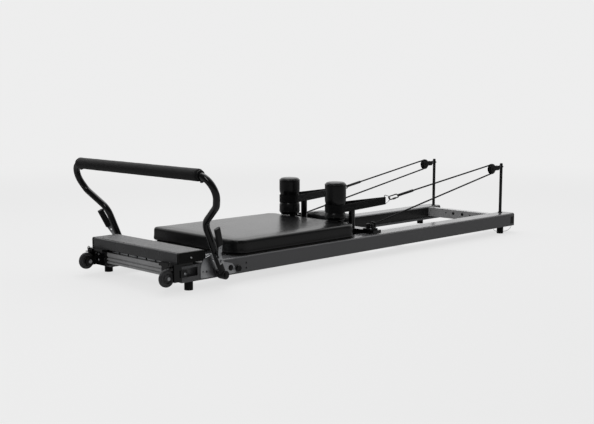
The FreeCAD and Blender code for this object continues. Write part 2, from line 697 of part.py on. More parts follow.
for side in (LEFT, RIGHT):
    pin = Part.makeCylinder(size("pin_rad"), 46, Vector(0, side * 306, size("pin_reach")), Vector(0, side, 0))
    cap = Part.makeCylinder(5.5, 3.5, Vector(0, side * 351.2, size("pin_reach")), Vector(0, side, 0))
    lock = pin.fuse(cap)
    lock.Placement = on_arm
    shaped(f"{SIDE_NAME[side]}_lock_pin", lock)

# ---- carriage -----------------------------------------------------------------------------

def slab(label, x, half_wide, z, corner, edge_round):
    """An upholstered or cut board with rounded corners, and softened top and bottom edges."""
    body = new_body(label)
    sketch = sketch_on(body, "XY_Plane", z[0])
    outline(sketch, [(x[0], f"-({half_wide})"), (x[1], f"-({half_wide})"), (x[1], half_wide),
                     (x[0], half_wide)])
    pad(body, sketch, f"({z[1]}) - ({z[0]})")
    soften(body, upright, corner)
    if edge_round:
        soften(body, at_height(sheet_value(z[1])), edge_round)
    return body


slab("carriage_pad", ("bed_start", "bed_end"), "bed_half", ("bed_low", "bed_top"), "bed_corner", "7")
slab("carriage_board", ("bed_start + board_inset", "bed_end - board_inset"), "bed_half - board_inset",
     ("board_low", "bed_low"), "bed_corner - board_inset", None)

frame = []
for side in (LEFT, RIGHT):
    frame.append(box(("spar_start", "spar_end"), ("spar_in", "spar_out"), ("spar_low", "board_low"), side))
    for x in ("roller_front", "roller_back"):
        frame.append(box((f"{x} - 22", f"{x} + 22"), ("spar_out", "spar_out + 5"), ("52", "spar_low + 30"),
                         side))
for x in ("455", "1010", "1150"):
    frame.append(box((x, f"{x} + 40"), ("-spar_in", "spar_in"), ("spar_low", "board_low")))
frame.append(box(("wing_start", "wing_end"), ("-wing_half", "wing_half"), ("board_low", "wing_top")))
for side in (LEFT, RIGHT):
    frame.append(box(("head_hinge_place - 6", "head_hinge_place + 6"), ("60", "66"),
                     ("board_low", "head_hinge_lift"), side))
    frame.append(rod("y", "6", "6", "head_hinge_place", "60", "head_hinge_lift", side))
frame.append(rod("y", "3", "134", "head_hinge_place", "-67", "head_hinge_lift"))
sockets = []
for side in (LEFT, RIGHT):
    for x in ("roller_front", "roller_back"):
        sockets.append(rod("y", "axle_rad", "10", x, "spar_out - 4", "roller_lift", side))
finish("carriage_frame", cut(join(*frame), *sockets))

finish("roller_axles", *[
    join(rod("y", "axle_rad", "26", x, "spar_out - 2", "roller_lift", side),
         rod("y", "8", "4", x, "roller_in + roller_wide + 0.8", "roller_lift", side),
         rod("y", "7.5", "5.4", x, "spar_out + 5", "roller_lift", side))
    for side in (LEFT, RIGHT) for x in ("roller_front", "roller_back")])

for end, x in (("foot", "roller_front"), ("head", "roller_back")):
    for side in (LEFT, RIGHT):
        roller = new_body(f"{SIDE_NAME[side]}_{end}_roller", x, f"{side} * (roller_in + roller_wide / 2)",
                          "roller_lift")
        half = "roller_wide / 2"
        spun(roller, [(f"-{half}", "axle_rad + fit"), (half, "axle_rad + fit"), (half, "roller_rad - 2"),
                      (f"{half} - 2", "roller_rad"), (f"2 - {half}", "roller_rad"),
                      (f"-{half}", "roller_rad - 2")])

finish("side_glides", *[
    box((x, f"{x} + 60"), ("spar_out", "rail_in - 0.6"), ("85", "101"), side)
    for side in (LEFT, RIGHT) for x in ("520", "960")])

# shoulder rests: a steel foot plate, a short stem with a flange, and the padded roll on top
posts = []
for side in (LEFT, RIGHT):
    plate = box(("rest_place + 11", "wing_start"), ("145", "175"), ("board_low", "board_low + 6"), side)
    stem = rod("z", "15", "rest_low - board_low", "rest_place + 27", f"{side} * (rest_side + 7)", "board_low")
    flange = rod("z", "42", "4", "rest_place", f"{side} * rest_side", "rest_low - 4")
    peg = rod("z", "peg_rad", "peg_top - board_low", "peg_place", f"{side} * peg_side", "board_low")
    posts.append(join(plate, stem, flange, rounded(peg, at_height(size("peg_top")), 4)))
finish("shoulder_posts", *posts)

rolls = []
for side in (LEFT, RIGHT):
    roll = rod("z", "rest_rad", "rest_top - rest_low", "rest_place", f"{side} * rest_side", "rest_low")
    rolls.append(rounded(roll, lambda edge: edge.Length > 100 and len(edge.Vertexes) == 1, 12))
finish("shoulder_pads", *rolls)

slab("headrest_pad", ("head_pad_start", "head_pad_end"), "head_pad_half", ("head_pad_low", "head_pad_top"),
     "35", "14")
leaf = new_body("headrest_plate")
outline_of_leaf = sketch_on(leaf, "XY_Plane", "head_pad_low - 3")
outline(outline_of_leaf, [("head_pad_start + 10", "-58"), ("head_pad_end - 20", "-58"),
                          ("head_pad_end - 20", "58"), ("head_pad_start + 10", "58")])
pad(leaf, outline_of_leaf, "3")
knuckle = sketch_on(leaf, "XZ_Plane")
ring(knuckle, "head_hinge_place", "head_hinge_lift", "5.5")
pad(leaf, knuckle, "116", middle=True)
tongue = sketch_on(leaf, "XZ_Plane")
outline(tongue, [("head_hinge_place", "head_hinge_lift + 2"), ("head_hinge_place + 14", "head_pad_low - 2"),
                 ("head_hinge_place + 14", "head_pad_low - 0.5"),
                 ("head_hinge_place", "head_hinge_lift + 5")])
pad(leaf, tongue, "116", middle=True)
through = sketch_on(leaf, "XZ_Plane")
ring(through, "head_hinge_place", "head_hinge_lift", "3.06")
pocket(leaf, through, "130", middle=True)

# cleats: a base and two cam jaws that hold the rope's end
cleats = []
for side in (LEFT, RIGHT):
    base = box(("cleat_place - 26", "cleat_place + 26"), ("cleat_side - 22", "cleat_side + 26"),
               ("wing_top", "wing_top + 6"), side)
    jaws = [rod("z", "9", "22", "cleat_place - 4", f"{side} * (cleat_side + {off})", "wing_top + 6")
            for off in ("-8.2", "16.8")]
    fairlead = box(("cleat_place + 16", "cleat_place + 24"), ("cleat_side - 8", "cleat_side + 17"),
                   ("wing_top + 6", "wing_top + 34"), side)
    eye = rod("x", "5.6", "20", "cleat_place + 10", f"{side} * 244.5", "145.5")
    cleats.append(cut(join(base, *jaws, fairlead), eye))
finish("rope_cleats", *cleats)

# ---- straps and their hardware ------------------------------------------------------------

def run_point(side, x):
    """Where the upper rope of a side passes a place x."""
    sleeve = Vector(*(SLEEVE_LEFT if side == LEFT else SLEEVE_RIGHT))
    sleeve.y *= side
    top = Vector(2261, side * 229.3, 371.6)
    return sleeve + (top - sleeve) * ((x - sleeve.x) / (top.x - sleeve.x))


# Places along the upper rope: the strap's end, the ring's tip, the link's far end, the sleeve's end
HARDWARE = {LEFT: {"strap": 1488, "ring": 1529, "link": 1590, "sleeve_end": 1696},
            RIGHT: {"strap": 1418, "ring": 1459, "link": 1519, "sleeve_end": 1628}}
STRAP_HIGH = {LEFT: 251, RIGHT: 230}
RING_BAR, RING_REACH, RING_OVER, RING_CORNER, RING_TIP, RING_THICK = 3, 57, 5.9, 3.2, 11, 2
LINK_BACK, LINK_HALF, LINK_THICK = 5.2, 9, 2.5
SLEEVE_GAP, SLEEVE_RAD, EYE_HALF, EYE_THICK = 7, 6.5, 4.4, 1.6


def strap(side):
    """A webbing loop round the shoulder roll that narrows to the ring on its two runs."""
    thick, wide = size("strap_thick"), size("strap_wide")
    around = size("rest_rad") + 0.3
    centre = Vector(size("rest_place"), side * size("rest_side"), 0)
    end = run_point(side, HARDWARE[side]["strap"])

    def loop(radius, tip):
        target = Vector(end.x + RING_BAR, end.y, 0)
        reach = target - centre
        spread = math.acos((radius - tip) / reach.Length)
        heading = math.atan2(reach.y, reach.x)
        points = []
        for turn in (heading + spread, heading - spread):
            points.append(Vector(math.cos(turn), math.sin(turn), 0))
        upper, lower = [centre + p * radius for p in points]
        far = centre - Vector(math.cos(heading), math.sin(heading), 0) * radius
        upper_tip, lower_tip = [target + p * tip for p in points]
        return Part.Wire([Part.Arc(upper, far, lower).toShape(),
                          Part.LineSegment(lower, lower_tip).toShape(),
                          Part.Arc(lower_tip, target + Vector(math.cos(heading), math.sin(heading), 0) * tip,
                                   upper_tip).toShape(),
                          Part.LineSegment(upper_tip, upper).toShape()])

    band = Part.Face(loop(around + thick, thick + RING_BAR)).cut(Part.Face(loop(around, RING_BAR)))
    solid = band.extrude(Vector(0, 0, wide))
    rise = (end.z - STRAP_HIGH[side]) / (end.x - centre.x)
    shear = FreeCAD.Matrix()
    shear.A31 = rise
    shear.A34 = STRAP_HIGH[side] - wide / 2 - rise * centre.x
    return solid.transformGeometry(shear)


for side in (LEFT, RIGHT):
    shaped(f"{SIDE_NAME[side]}_strap", strap(side))


def along_rope(side, near, far):
    begin, end = run_point(side, near), run_point(side, far)
    return begin, end, (end - begin).normalize()


def d_ring(side):
    """A bent ring: an upright bar inside the strap's end, and two runs to a round tip."""
    spot = HARDWARE[side]["strap"] + RING_BAR
    begin, tip, _ = along_rope(side, spot, spot + RING_REACH)
    tall = Vector(0, 0, size("strap_wide") / 2 + RING_OVER)
    path = bent_path([begin, begin + tall, tip, begin - tall, begin - tall * 0.1],
                     [RING_CORNER, RING_TIP, RING_CORNER])
    return tube(path, RING_THICK)


def snap_link(side):
    """A flat oval link, lying level, between the ring's tip and the rope's eye."""
    begin, end, way = along_rope(side, HARDWARE[side]["ring"] - LINK_BACK, HARDWARE[side]["link"])
    level = way.cross(Vector(0, 0, 1)).normalize() * LINK_HALF
    a, b = begin + way * LINK_HALF, end - way * LINK_HALF
    oval = Part.Wire([Part.LineSegment(a + level, b + level).toShape(),
                      Part.Arc(b + level, end, b - level).toShape(),
                      Part.LineSegment(b - level, a - level).toShape(),
                      Part.Arc(a - level, begin, a + level).toShape()])
    return tube(oval, LINK_THICK)


def rope_sleeve(side):
    """The covered end of the rope, with the small eye that holds the link."""
    spots = HARDWARE[side]
    begin, end, way = along_rope(side, spots["link"] + SLEEVE_GAP, spots["sleeve_end"])
    bar = run_point(side, spots["link"])
    lift = way.cross(Vector(0, 1, 0)).normalize() * EYE_HALF
    into = begin + way * 3
    eye = Part.Wire([Part.LineSegment(into + lift, bar + lift).toShape(),
                     Part.Arc(bar + lift, bar - way * EYE_HALF, bar - lift).toShape(),
                     Part.LineSegment(bar - lift, into - lift).toShape()])
    return Part.makeCylinder(SLEEVE_RAD, (end - begin).Length, begin, way).fuse(tube(eye, EYE_THICK))


shaped("strap_rings", Part.makeCompound([d_ring(side) for side in (LEFT, RIGHT)]))
shaped("snap_links", Part.makeCompound([snap_link(side) for side in (LEFT, RIGHT)]))
shaped("rope_sleeves", Part.makeCompound([rope_sleeve(side) for side in (LEFT, RIGHT)]))

# ---- ropes: cleat, lower run, half a turn on the sheave, upper run, sleeve -----------------

def tangent_corners(centre, radius, lower, upper):
    """Corner points of the polygon whose arcs of this radius follow the sheave."""

    def touch(point, sign):
        reach = centre - point
        slope = math.atan2(reach.z, reach.x)
        bend = math.asin(radius / math.hypot(reach.x, reach.z))
        return slope + sign * bend

    low_way, high_way = touch(lower, -1), touch(upper, 1)
    side_x = centre.x + radius
    low = Vector(side_x, centre.y, lower.z + (side_x - lower.x) * math.tan(low_way))
    high = Vector(side_x, centre.y, upper.z + (side_x - upper.x) * math.tan(high_way))
    return low, high


ROPE_RADII = []
for side in (LEFT, RIGHT):
    centre = Vector(size("sheave_place"), side * size("post_side"), size("sheave_lift"))
    start = Vector(CLEAT_ROPE[0], side * CLEAT_ROPE[1], CLEAT_ROPE[2])
    finish_at = run_point(side, HARDWARE[side]["sleeve_end"] + 0.4)
    near = Vector(centre.x - 60, centre.y, 0)
    low, high = tangent_corners(centre, size("rope_round"), start, finish_at)
    low_near = start + (low - start) * ((near.x - start.x) / (low.x - start.x))
    high_near = finish_at + (high - finish_at) * ((near.x - finish_at.x) / (high.x - finish_at.x))
    low_near.y = high_near.y = centre.y
    corners = [start, low_near, low, high, high_near, finish_at]
    radii = [60, size("rope_round") * 0.985, size("rope_round") * 0.985, 60]
    shape = tube(bent_path(corners, radii), size("rope_rad"))
    shaped(f"{SIDE_NAME[side]}_rope", shape)
    ROPE_RADII += radii
    print(SIDE_NAME[side], "rope corners", [[round(c, 1) for c in p] for p in corners])
print("rope bend radii", [round(r, 1) for r in ROPE_RADII])

# a thin lanyard hangs in a loop under the head end of the right rail, behind the foot
LANYARD = [(2268, -250, 34.4), (2274, -250, 22), (2290, -252, 11), (2312, -253, 4.5), (2336, -261, 3),
           (2358, -272, 5), (2376, -281, 12), (2387, -286, 22), (2391, -288, 34.4)]
lanyard_points = [Vector(*p) for p in LANYARD]
lanyard_radii = []
for a, b, c in zip(lanyard_points, lanyard_points[1:], lanyard_points[2:]):
    turn = (b - a).getAngle(c - b)
    lanyard_radii.append(0.45 * min((b - a).Length, (c - b).Length) / math.tan(turn / 2))
print("lanyard bend radii", [round(r, 1) for r in lanyard_radii])
shaped("lanyard_loop", tube(bent_path(lanyard_points, lanyard_radii), 1))

# ---- write the pieces ---------------------------------------------------------------------
doc.removeObject(scratch.Name)
doc.recompute()
for thing in doc.Objects:
    if {"Invalid", "Error"} & set(thing.State):
        raise RuntimeError(f"{thing.Label} did not compute: {thing.State}")
os.makedirs("parts", exist_ok=True)
names = [piece.Label for piece in pieces]
if len(set(names)) != len(names) or len(names) > 60:
    raise RuntimeError(f"{len(names)} pieces, or two with one name")
for piece in pieces:
    if piece.Shape.isNull() or not piece.Shape.isValid() or not piece.Shape.Solids:
        raise RuntimeError(f"{piece.Label} has no valid solid")
    piece.Shape.exportStep(f"parts/{piece.Label}.step")
print(len(names), "pieces written")
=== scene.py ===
import json
import math

import bmesh
import bpy
from mathutils import Matrix, Quaternion, Vector


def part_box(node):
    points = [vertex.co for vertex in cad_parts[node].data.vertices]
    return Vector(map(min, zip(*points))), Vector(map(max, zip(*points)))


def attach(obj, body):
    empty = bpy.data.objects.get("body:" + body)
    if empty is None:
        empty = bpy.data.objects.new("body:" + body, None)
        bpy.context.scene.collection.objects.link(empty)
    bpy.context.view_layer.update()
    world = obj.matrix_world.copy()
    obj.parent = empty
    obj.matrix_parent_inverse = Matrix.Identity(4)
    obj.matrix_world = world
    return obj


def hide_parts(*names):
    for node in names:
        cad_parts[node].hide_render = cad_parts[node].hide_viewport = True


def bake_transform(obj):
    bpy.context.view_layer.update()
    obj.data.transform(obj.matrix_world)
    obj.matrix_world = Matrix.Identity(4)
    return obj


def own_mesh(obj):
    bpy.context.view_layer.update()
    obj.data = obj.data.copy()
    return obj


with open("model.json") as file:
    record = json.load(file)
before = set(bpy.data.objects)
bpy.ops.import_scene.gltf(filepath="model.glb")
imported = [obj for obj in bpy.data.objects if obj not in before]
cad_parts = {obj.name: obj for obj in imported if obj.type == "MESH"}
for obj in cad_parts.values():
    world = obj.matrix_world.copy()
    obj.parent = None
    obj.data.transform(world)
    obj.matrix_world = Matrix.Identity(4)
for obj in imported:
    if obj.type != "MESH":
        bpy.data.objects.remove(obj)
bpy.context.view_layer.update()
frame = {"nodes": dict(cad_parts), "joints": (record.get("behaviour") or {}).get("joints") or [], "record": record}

# Pilates reformer, in metres: +X from the foot end to the head end, +Y to the left, +Z up,
# with the origin on the floor under the middle.  Left is +1 and right is -1.

LEFT, RIGHT = 1, -1
SIDES = {"left": LEFT, "right": RIGHT}
NODES = frame["nodes"]
JOINTS = {joint["name"]: joint for joint in frame["joints"]}
SLOT_OF = {row["node"]: row["material_slot"] for row in frame["record"]["subparts"]}
MM = 0.001


# ---- camera and light ---------------------------------------------------------------------

CAMERA_PLACE = (-3.4705, -3.3145, 0.8022)
CAMERA_YAW, CAMERA_PITCH, CAMERA_ROLL = 45.26, 7.32, 0.05
CAMERA_LENS = 60.47
CAMERA_SHIFT = (0.0008, 0.0010)
STUDIO_GREY = (0.853, 0.853, 0.853)


def make_camera():
    data = bpy.data.cameras.new("camera")
    camera = bpy.data.objects.new("camera", data)
    bpy.context.scene.collection.objects.link(camera)
    bpy.context.scene.camera = camera
    data.lens = CAMERA_LENS
    data.sensor_width = 36
    data.shift_x, data.shift_y = CAMERA_SHIFT
    yaw, pitch = math.radians(CAMERA_YAW), math.radians(CAMERA_PITCH)
    ahead = Vector((math.cos(yaw) * math.cos(pitch), math.sin(yaw) * math.cos(pitch), -math.sin(pitch)))
    turn = ahead.to_track_quat("-Z", "Y") @ Quaternion((0, 0, 1), math.radians(CAMERA_ROLL))
    camera.location = CAMERA_PLACE
    camera.rotation_mode = "QUATERNION"
    camera.rotation_quaternion = turn


def area_light(name, place, target, size, power):
    data = bpy.data.lights.new(name, "AREA")
    data.shape = "RECTANGLE"
    data.size, data.size_y = size
    data.energy = power
    lamp = bpy.data.objects.new(name, data)
    bpy.context.scene.collection.objects.link(lamp)
    lamp.location = place
    lamp.rotation_mode = "QUATERNION"
    lamp.rotation_quaternion = (Vector(target) - Vector(place)).to_track_quat("-Z", "Y")


# ---- shader maths -------------------------------------------------------------------------

class Value:
    """A shader socket that can be used in a sum."""

    def __init__(self, graph, socket):
        self.graph, self.socket = graph, socket

    def maths(self, operation, *others):
        return self.graph.node("ShaderNodeMath", {"operation": operation}, dict(enumerate((self, *others))))

    def __add__(self, other):
        return self.maths("ADD", other)

    def __mul__(self, other):
        return self.maths("MULTIPLY", other)

    def __sub__(self, other):
        return self.maths("SUBTRACT", other)

    def __rsub__(self, other):
        return self.graph.node("ShaderNodeMath", {"operation": "SUBTRACT"}, {0: other, 1: self})

    __radd__, __rmul__ = __add__, __mul__

    def between(self, low, high):
        """0 below low, 1 above high, and a smooth step in between."""
        return self.graph.node("ShaderNodeMapRange", {"interpolation_type": "SMOOTHSTEP"},
                               {"Value": self, "From Min": low, "From Max": high})


class Graph:
    """The node tree of a new material, or of the data block that is handed in."""

    def __init__(self, name, owner=None):
        self.material = owner or bpy.data.materials.new(name)
        self.material.use_nodes = True
        self.tree = self.material.node_tree
        self.tree.nodes.clear()

    def node(self, kind, settings=None, inputs=None, out=0):
        made = self.tree.nodes.new(kind)
        for key, setting in (settings or {}).items():
            if key == "stops":
                ramp = made.color_ramp.elements
                while len(ramp) < len(setting):
                    ramp.new(0.5)
                for stop, (place, shade) in zip(ramp, setting):
                    stop.position = place
                    stop.color = (*shade, 1) if isinstance(shade, tuple) else (shade, shade, shade, 1)
            else:
                setattr(made, key, setting)
        for key, value in (inputs or {}).items():
            if isinstance(value, Value):
                self.tree.links.new(value.socket, made.inputs[key])
            else:
                made.inputs[key].default_value = value
        return Value(self, made.outputs[out])

    def place(self):
        return self.node("ShaderNodeTexCoord", out="Object")

    def uv(self):
        return self.node("ShaderNodeTexCoord", out="UV")

    def axis(self, vector, name):
        return self.node("ShaderNodeSeparateXYZ", None, {"Vector": vector}, "XYZ".index(name))

    def stretched(self, vector, scale, turn=(0, 0, 0)):
        return self.node("ShaderNodeMapping", None, {"Vector": vector, "Scale": scale, "Rotation": turn})

    def noise(self, vector, scale, detail=3.0, rough=0.5):
        return self.node("ShaderNodeTexNoise", None,
                         {"Vector": vector, "Scale": scale, "Detail": detail, "Roughness": rough})

    def cells(self, vector, scale, feature="F1"):
        return self.node("ShaderNodeTexVoronoi", {"feature": feature}, {"Vector": vector, "Scale": scale})

    def bands(self, vector, scale, direction="X"):
        return self.node("ShaderNodeTexWave", {"bands_direction": direction, "wave_profile": "SIN"},
                         {"Vector": vector, "Scale": scale})

    def shade(self, amount, dark, light):
        return self.node("ShaderNodeMix", {"data_type": "RGBA"},
                         {"Factor": amount, "A": (*dark, 1), "B": (*light, 1)}, "Result")

    def bump(self, height, depth, strength=1.0):
        return self.node("ShaderNodeBump", None,
                         {"Height": height, "Distance": depth, "Strength": strength})

    def finish(self, colour, rough, normal=None, **fixed):
        """The surface itself; fixed holds the shader's other numbers."""
        sockets = {"Base Color": colour if isinstance(colour, Value) else (*colour, 1), "Roughness": rough}
        if normal is not None:
            sockets["Normal"] = normal
        names = {"metal": "Metallic", "coat": "Coat Weight", "coat_rough": "Coat Roughness",
                 "specular": "Specular IOR Level", "sheen": "Sheen Weight", "sheen_rough": "Sheen Roughness"}
        sockets.update({names[key]: number for key, number in fixed.items()})
        surface = self.node("ShaderNodeBsdfPrincipled", None, sockets)
        self.node_out(surface)
        return self.material

    def node_out(self, surface, kind="ShaderNodeOutputMaterial"):
        end = self.tree.nodes.new(kind)
        self.tree.links.new(surface.socket, end.inputs["Surface"])


# ---- materials ----------------------------------------------------------------------------

# A wave texture turns through ten radians a unit; a rope has this many strands a way and this pitch
STRANDS, BRAID_PITCH = 5, 10 * MM
BRAID_ROUND = STRANDS * 2 * math.pi / 10
BRAID_ALONG = 2 * math.pi / 10 / BRAID_PITCH


def powder_coat(name, base, rough, grain, specular=0.5, coat=0.0):
    """Baked powder paint: a fine orange peel, faint cloudiness and a few rubbed patches."""
    g = Graph(name)
    at = g.place()
    peel = g.noise(at, grain, 2.0)
    cloud = g.noise(at, 9.0, 4.0)
    rubbed = g.noise(g.stretched(at, (2.0, 9.0, 9.0)), 14.0, 6.0, 0.7).between(0.60, 0.78)
    light = tuple(min(1.0, c * 1.25) for c in base)
    colour = g.shade(cloud.between(0.3, 0.75), base, light)
    return g.finish(colour, cloud * 0.06 + rubbed * 0.05 + rough, g.bump(peel, 0.00001, 0.15),
                    specular=specular, coat=coat, coat_rough=0.12)


# Where the coat changes from a rail's inner face, which carries painted shade, to the rest, and from its ledge to
# that face
INNER_FACE_Y, LEDGE_Z = (0.2062, 0.2072), (0.044, 0.048)


def rail_coat_with_painted_shade(base, rough):
    """The grey powder coat of the rails, with painted shade darkening their flat inner faces to read as a shaded
    groove.
    """
    g = Graph("rail_coat_with_painted_shade")
    at = g.place()
    outer = g.axis(at, "Y").maths("ABSOLUTE").between(*INNER_FACE_Y)
    ledge = 1 - g.axis(at, "Z").between(*LEDGE_Z)
    cloud = g.noise(at, 9.0, 4.0).between(0.3, 0.75)
    unshaded_face = outer.maths("MAXIMUM", ledge)
    # painted shade: above the ledge the inner faces are mixed to near black, while the outer faces and the ledge
    # keep the grey
    colour = g.shade(cloud * unshaded_face + unshaded_face * 2.0 - 1.0, (0.006, 0.006, 0.0065), base)
    return g.finish(colour, cloud * 0.05 + rough, g.bump(g.noise(at, 1500.0, 2.0), 0.00002, 0.2))


def zinc_plate():
    g = Graph("zinc_plate")
    at = g.place()
    crystals = g.cells(at, 160.0)
    brushed = g.noise(g.stretched(at, (400.0, 400.0, 30.0)), 2.0, 3.0)
    haze = g.noise(at, 24.0, 4.0)
    colour = g.shade(haze.between(0.3, 0.7), (0.42, 0.43, 0.45), (0.72, 0.73, 0.74))
    rough = brushed * 0.14 + crystals * 0.05 + 0.22
    return g.finish(colour, rough, g.bump(brushed, 0.00003, 0.4), metal=1.0)


def moulded(name, base, rough, texture, specular=0.4):
    """Moulded plastic or rubber with an etched texture."""
    g = Graph(name)
    at = g.place()
    etched = g.noise(at, texture, 4.0, 0.65)
    worn = g.noise(at, 30.0, 4.0).between(0.45, 0.8)
    colour = g.shade(worn, base, tuple(c * 1.7 for c in base))
    return g.finish(colour, etched * 0.14 + rough, g.bump(etched, 0.00009, 0.6), specular=specular)


def vinyl():
    """Upholstery vinyl: small pebbled grain with creases between, faint mottling."""
    g = Graph("black_vinyl")
    at = g.place()
    warp = g.noise(at, 300.0, 2.0)
    pebbles = g.cells(at, 760.0)
    creases = g.cells(at, 420.0, "DISTANCE_TO_EDGE").between(0.0, 0.12)
    mottled = g.noise(at, 3.0, 3.0).between(0.3, 0.7)
    height = creases * 0.6 - pebbles * 0.5 + warp * 0.3
    colour = g.shade(mottled, (0.0045, 0.0046, 0.0050), (0.0075, 0.0076, 0.0082))
    return g.finish(colour, mottled * 0.03 + creases * -0.03 + 0.28, g.bump(height, 0.00005, 0.3),
                    specular=0.5)


def foam_skin():
    g = Graph("foam_grip_skin")
    at = g.place()
    pores = g.cells(at, 1300.0).between(0.1, 0.7)
    soft = g.noise(at, 60.0, 4.0)
    colour = g.shade(soft, (0.006, 0.006, 0.0065), (0.014, 0.014, 0.015))
    return g.finish(colour, pores * 0.05 + soft * 0.06 + 0.48, g.bump(pores + soft * 0.5, 0.00016, 0.6),
                    specular=0.3)


def woven(name, base, ribs_across, ribs_along, specular=0.25):
    """A woven band, with painted shade in the hollows of its weave; its UV map runs in metres, across in U and
    along in V.
    """
    g = Graph(name)
    at = g.uv()
    warp_threads = g.bands(g.stretched(at, (ribs_across, 0, 0)), 1.0, "X")
    weft = g.bands(g.stretched(at, (ribs_across * 0.5, ribs_along, 0), (0, 0, 0.6)), 1.0, "X")
    fuzz = g.noise(g.place(), 1500.0, 3.0)
    height = warp_threads * 0.7 + weft * 0.5 + fuzz * 0.3
    light = tuple(c * 2.4 for c in base)
    # painted shade: darker in the hollows between threads, lighter where warp and weft both rise
    colour = g.shade((warp_threads * weft).between(0.2, 0.9), base, light)
    return g.finish(colour, fuzz * 0.1 + 0.62, g.bump(height, 0.0003, 0.8), specular=specular,
                    sheen=0.12, sheen_rough=0.4)


def braided(name, base):
    """A braided jacket: two sets of slanted strands that cross, with painted shade in the grooves between them; U
    once round, V in metres.
    """
    g = Graph(name)
    at = g.uv()
    one = g.bands(g.stretched(at, (BRAID_ROUND, BRAID_ALONG, 0)), 1.0, "DIAGONAL")
    other = g.bands(g.stretched(at, (-BRAID_ROUND, BRAID_ALONG, 0)), 1.0, "DIAGONAL")
    fuzz = g.noise(g.place(), 2200.0, 3.0)
    strands = one.maths("MAXIMUM", other)
    # painted shade: the grooves between strands stay at the dark base, and the strand crests are three times
    # lighter
    colour = g.shade(strands.between(0.4, 1.0), base, tuple(c * 3.0 for c in base))
    return g.finish(colour, fuzz * 0.1 + 0.6, g.bump(strands + fuzz * 0.3, 0.0005, 0.8), specular=0.25)


def stained_board():
    g = Graph("stained_board")
    at = g.place()
    grain = g.noise(g.stretched(at, (3.0, 60.0, 160.0)), 6.0, 5.0)
    colour = g.shade(grain, (0.008, 0.008, 0.008), (0.024, 0.022, 0.021))
    return g.finish(colour, grain * 0.2 + 0.5, g.bump(grain, 0.0002, 0.5), specular=0.3)


def grit_tape():
    """Anti-slip sheet: mineral grains of mixed grey in a dark binder."""
    g = Graph("grit_sheet")
    at = g.place()
    grains = g.cells(at, 1150.0)
    speckle = g.noise(at, 1400.0, 2.0, 0.8)
    patch = g.noise(at, 20.0, 3.0)
    amount = speckle.between(0.42, 0.68) * 0.8 + patch * 0.25
    colour = g.shade(amount, (0.08, 0.08, 0.082), (0.42, 0.42, 0.425))
    return g.finish(colour, grains * 0.12 + 0.48, g.bump(grains, 0.0005, 0.7), specular=0.55)


def clear_cord():
    g = Graph("clear_cord")
    haze = g.noise(g.place(), 200.0, 2.0)
    colour = g.shade(haze, (0.42, 0.42, 0.42), (0.60, 0.60, 0.60))
    return g.finish(colour, haze * 0.1 + 0.25, specular=0.5)


def sewing_thread():
    g = Graph("sewing_thread")
    twist = g.bands(g.stretched(g.place(), (1.0, 1.0, 1.0), (0, 0, 0.7)), 900.0, "X")
    colour = g.shade(twist, (0.012, 0.012, 0.013), (0.045, 0.045, 0.048))
    return g.finish(colour, twist * 0.1 + 0.5, specular=0.3)


def tyre_rubber(name, base):
    g = Graph(name)
    at = g.place()
    dust = g.noise(at, 90.0, 5.0).between(0.4, 0.75)
    fine = g.noise(at, 1500.0, 3.0)
    colour = g.shade(dust, base, tuple(c * 1.9 for c in base))
    return g.finish(colour, fine * 0.12 + 0.5, g.bump(fine, 0.0001, 0.6), specular=0.35)


MATERIALS = {
    "steel_grey": powder_coat("grey_powder_coat", (0.070, 0.071, 0.074), 0.24, 1500.0),
    "black_metal": powder_coat("gloss_black_coat", (0.0040, 0.0040, 0.0045), 0.12, 900.0, 0.4, 0.2),
    "zinc": zinc_plate(),
    "black_plastic": moulded("black_moulding", (0.0055, 0.0055, 0.006), 0.40, 900.0),
    "rubber": moulded("black_rubber", (0.006, 0.006, 0.006), 0.55, 1300.0, 0.3),
    "tyre": tyre_rubber("wheel_rubber", (0.065, 0.065, 0.067)),
    "vinyl": vinyl(),
    "foam": foam_skin(),
    "webbing": woven("black_webbing", (0.004, 0.004, 0.0045), 450.0, 320.0),
    "rope": braided("black_braid", (0.0055, 0.0055, 0.006)),
    "wire": clear_cord(),
    "board": stained_board(),
    "nylon": moulded("grey_nylon", (0.02, 0.02, 0.021), 0.38, 700.0),
}
GRIT = grit_tape()
THREAD = sewing_thread()
HUB_PLASTIC = moulded("hub_plastic", (0.10, 0.10, 0.103), 0.42, 800.0)

LIGHT_COAT = powder_coat("light_grey_coat", (0.50, 0.502, 0.508), 0.24, 1500.0)
# the rails' coat, with painted shade on their inner faces
RAIL_COAT_WITH_PAINTED_SHADE = rail_coat_with_painted_shade((0.165, 0.166, 0.172), 0.18)
SPECIAL_FINISH = {"foot_crossbeam": LIGHT_COAT, "head_crossmember": LIGHT_COAT,
                  "left_rail": RAIL_COAT_WITH_PAINTED_SHADE, "right_rail": RAIL_COAT_WITH_PAINTED_SHADE,
                  "platform_end_caps": MATERIALS["rubber"], "footbar_pivot_bolts": MATERIALS["black_metal"]}

for label, node in NODES.items():
    node.data.materials.clear()
    node.data.materials.append(SPECIAL_FINISH.get(label, MATERIALS[SLOT_OF[label]]))


# ---- mesh helpers -------------------------------------------------------------------------

def as_mesh(name, shape):
    """A mesh of the built shape, its faces turned outwards."""
    bmesh.ops.recalc_face_normals(shape, faces=shape.faces)
    mesh = bpy.data.meshes.new(name)
    shape.to_mesh(mesh)
    shape.free()
    return mesh


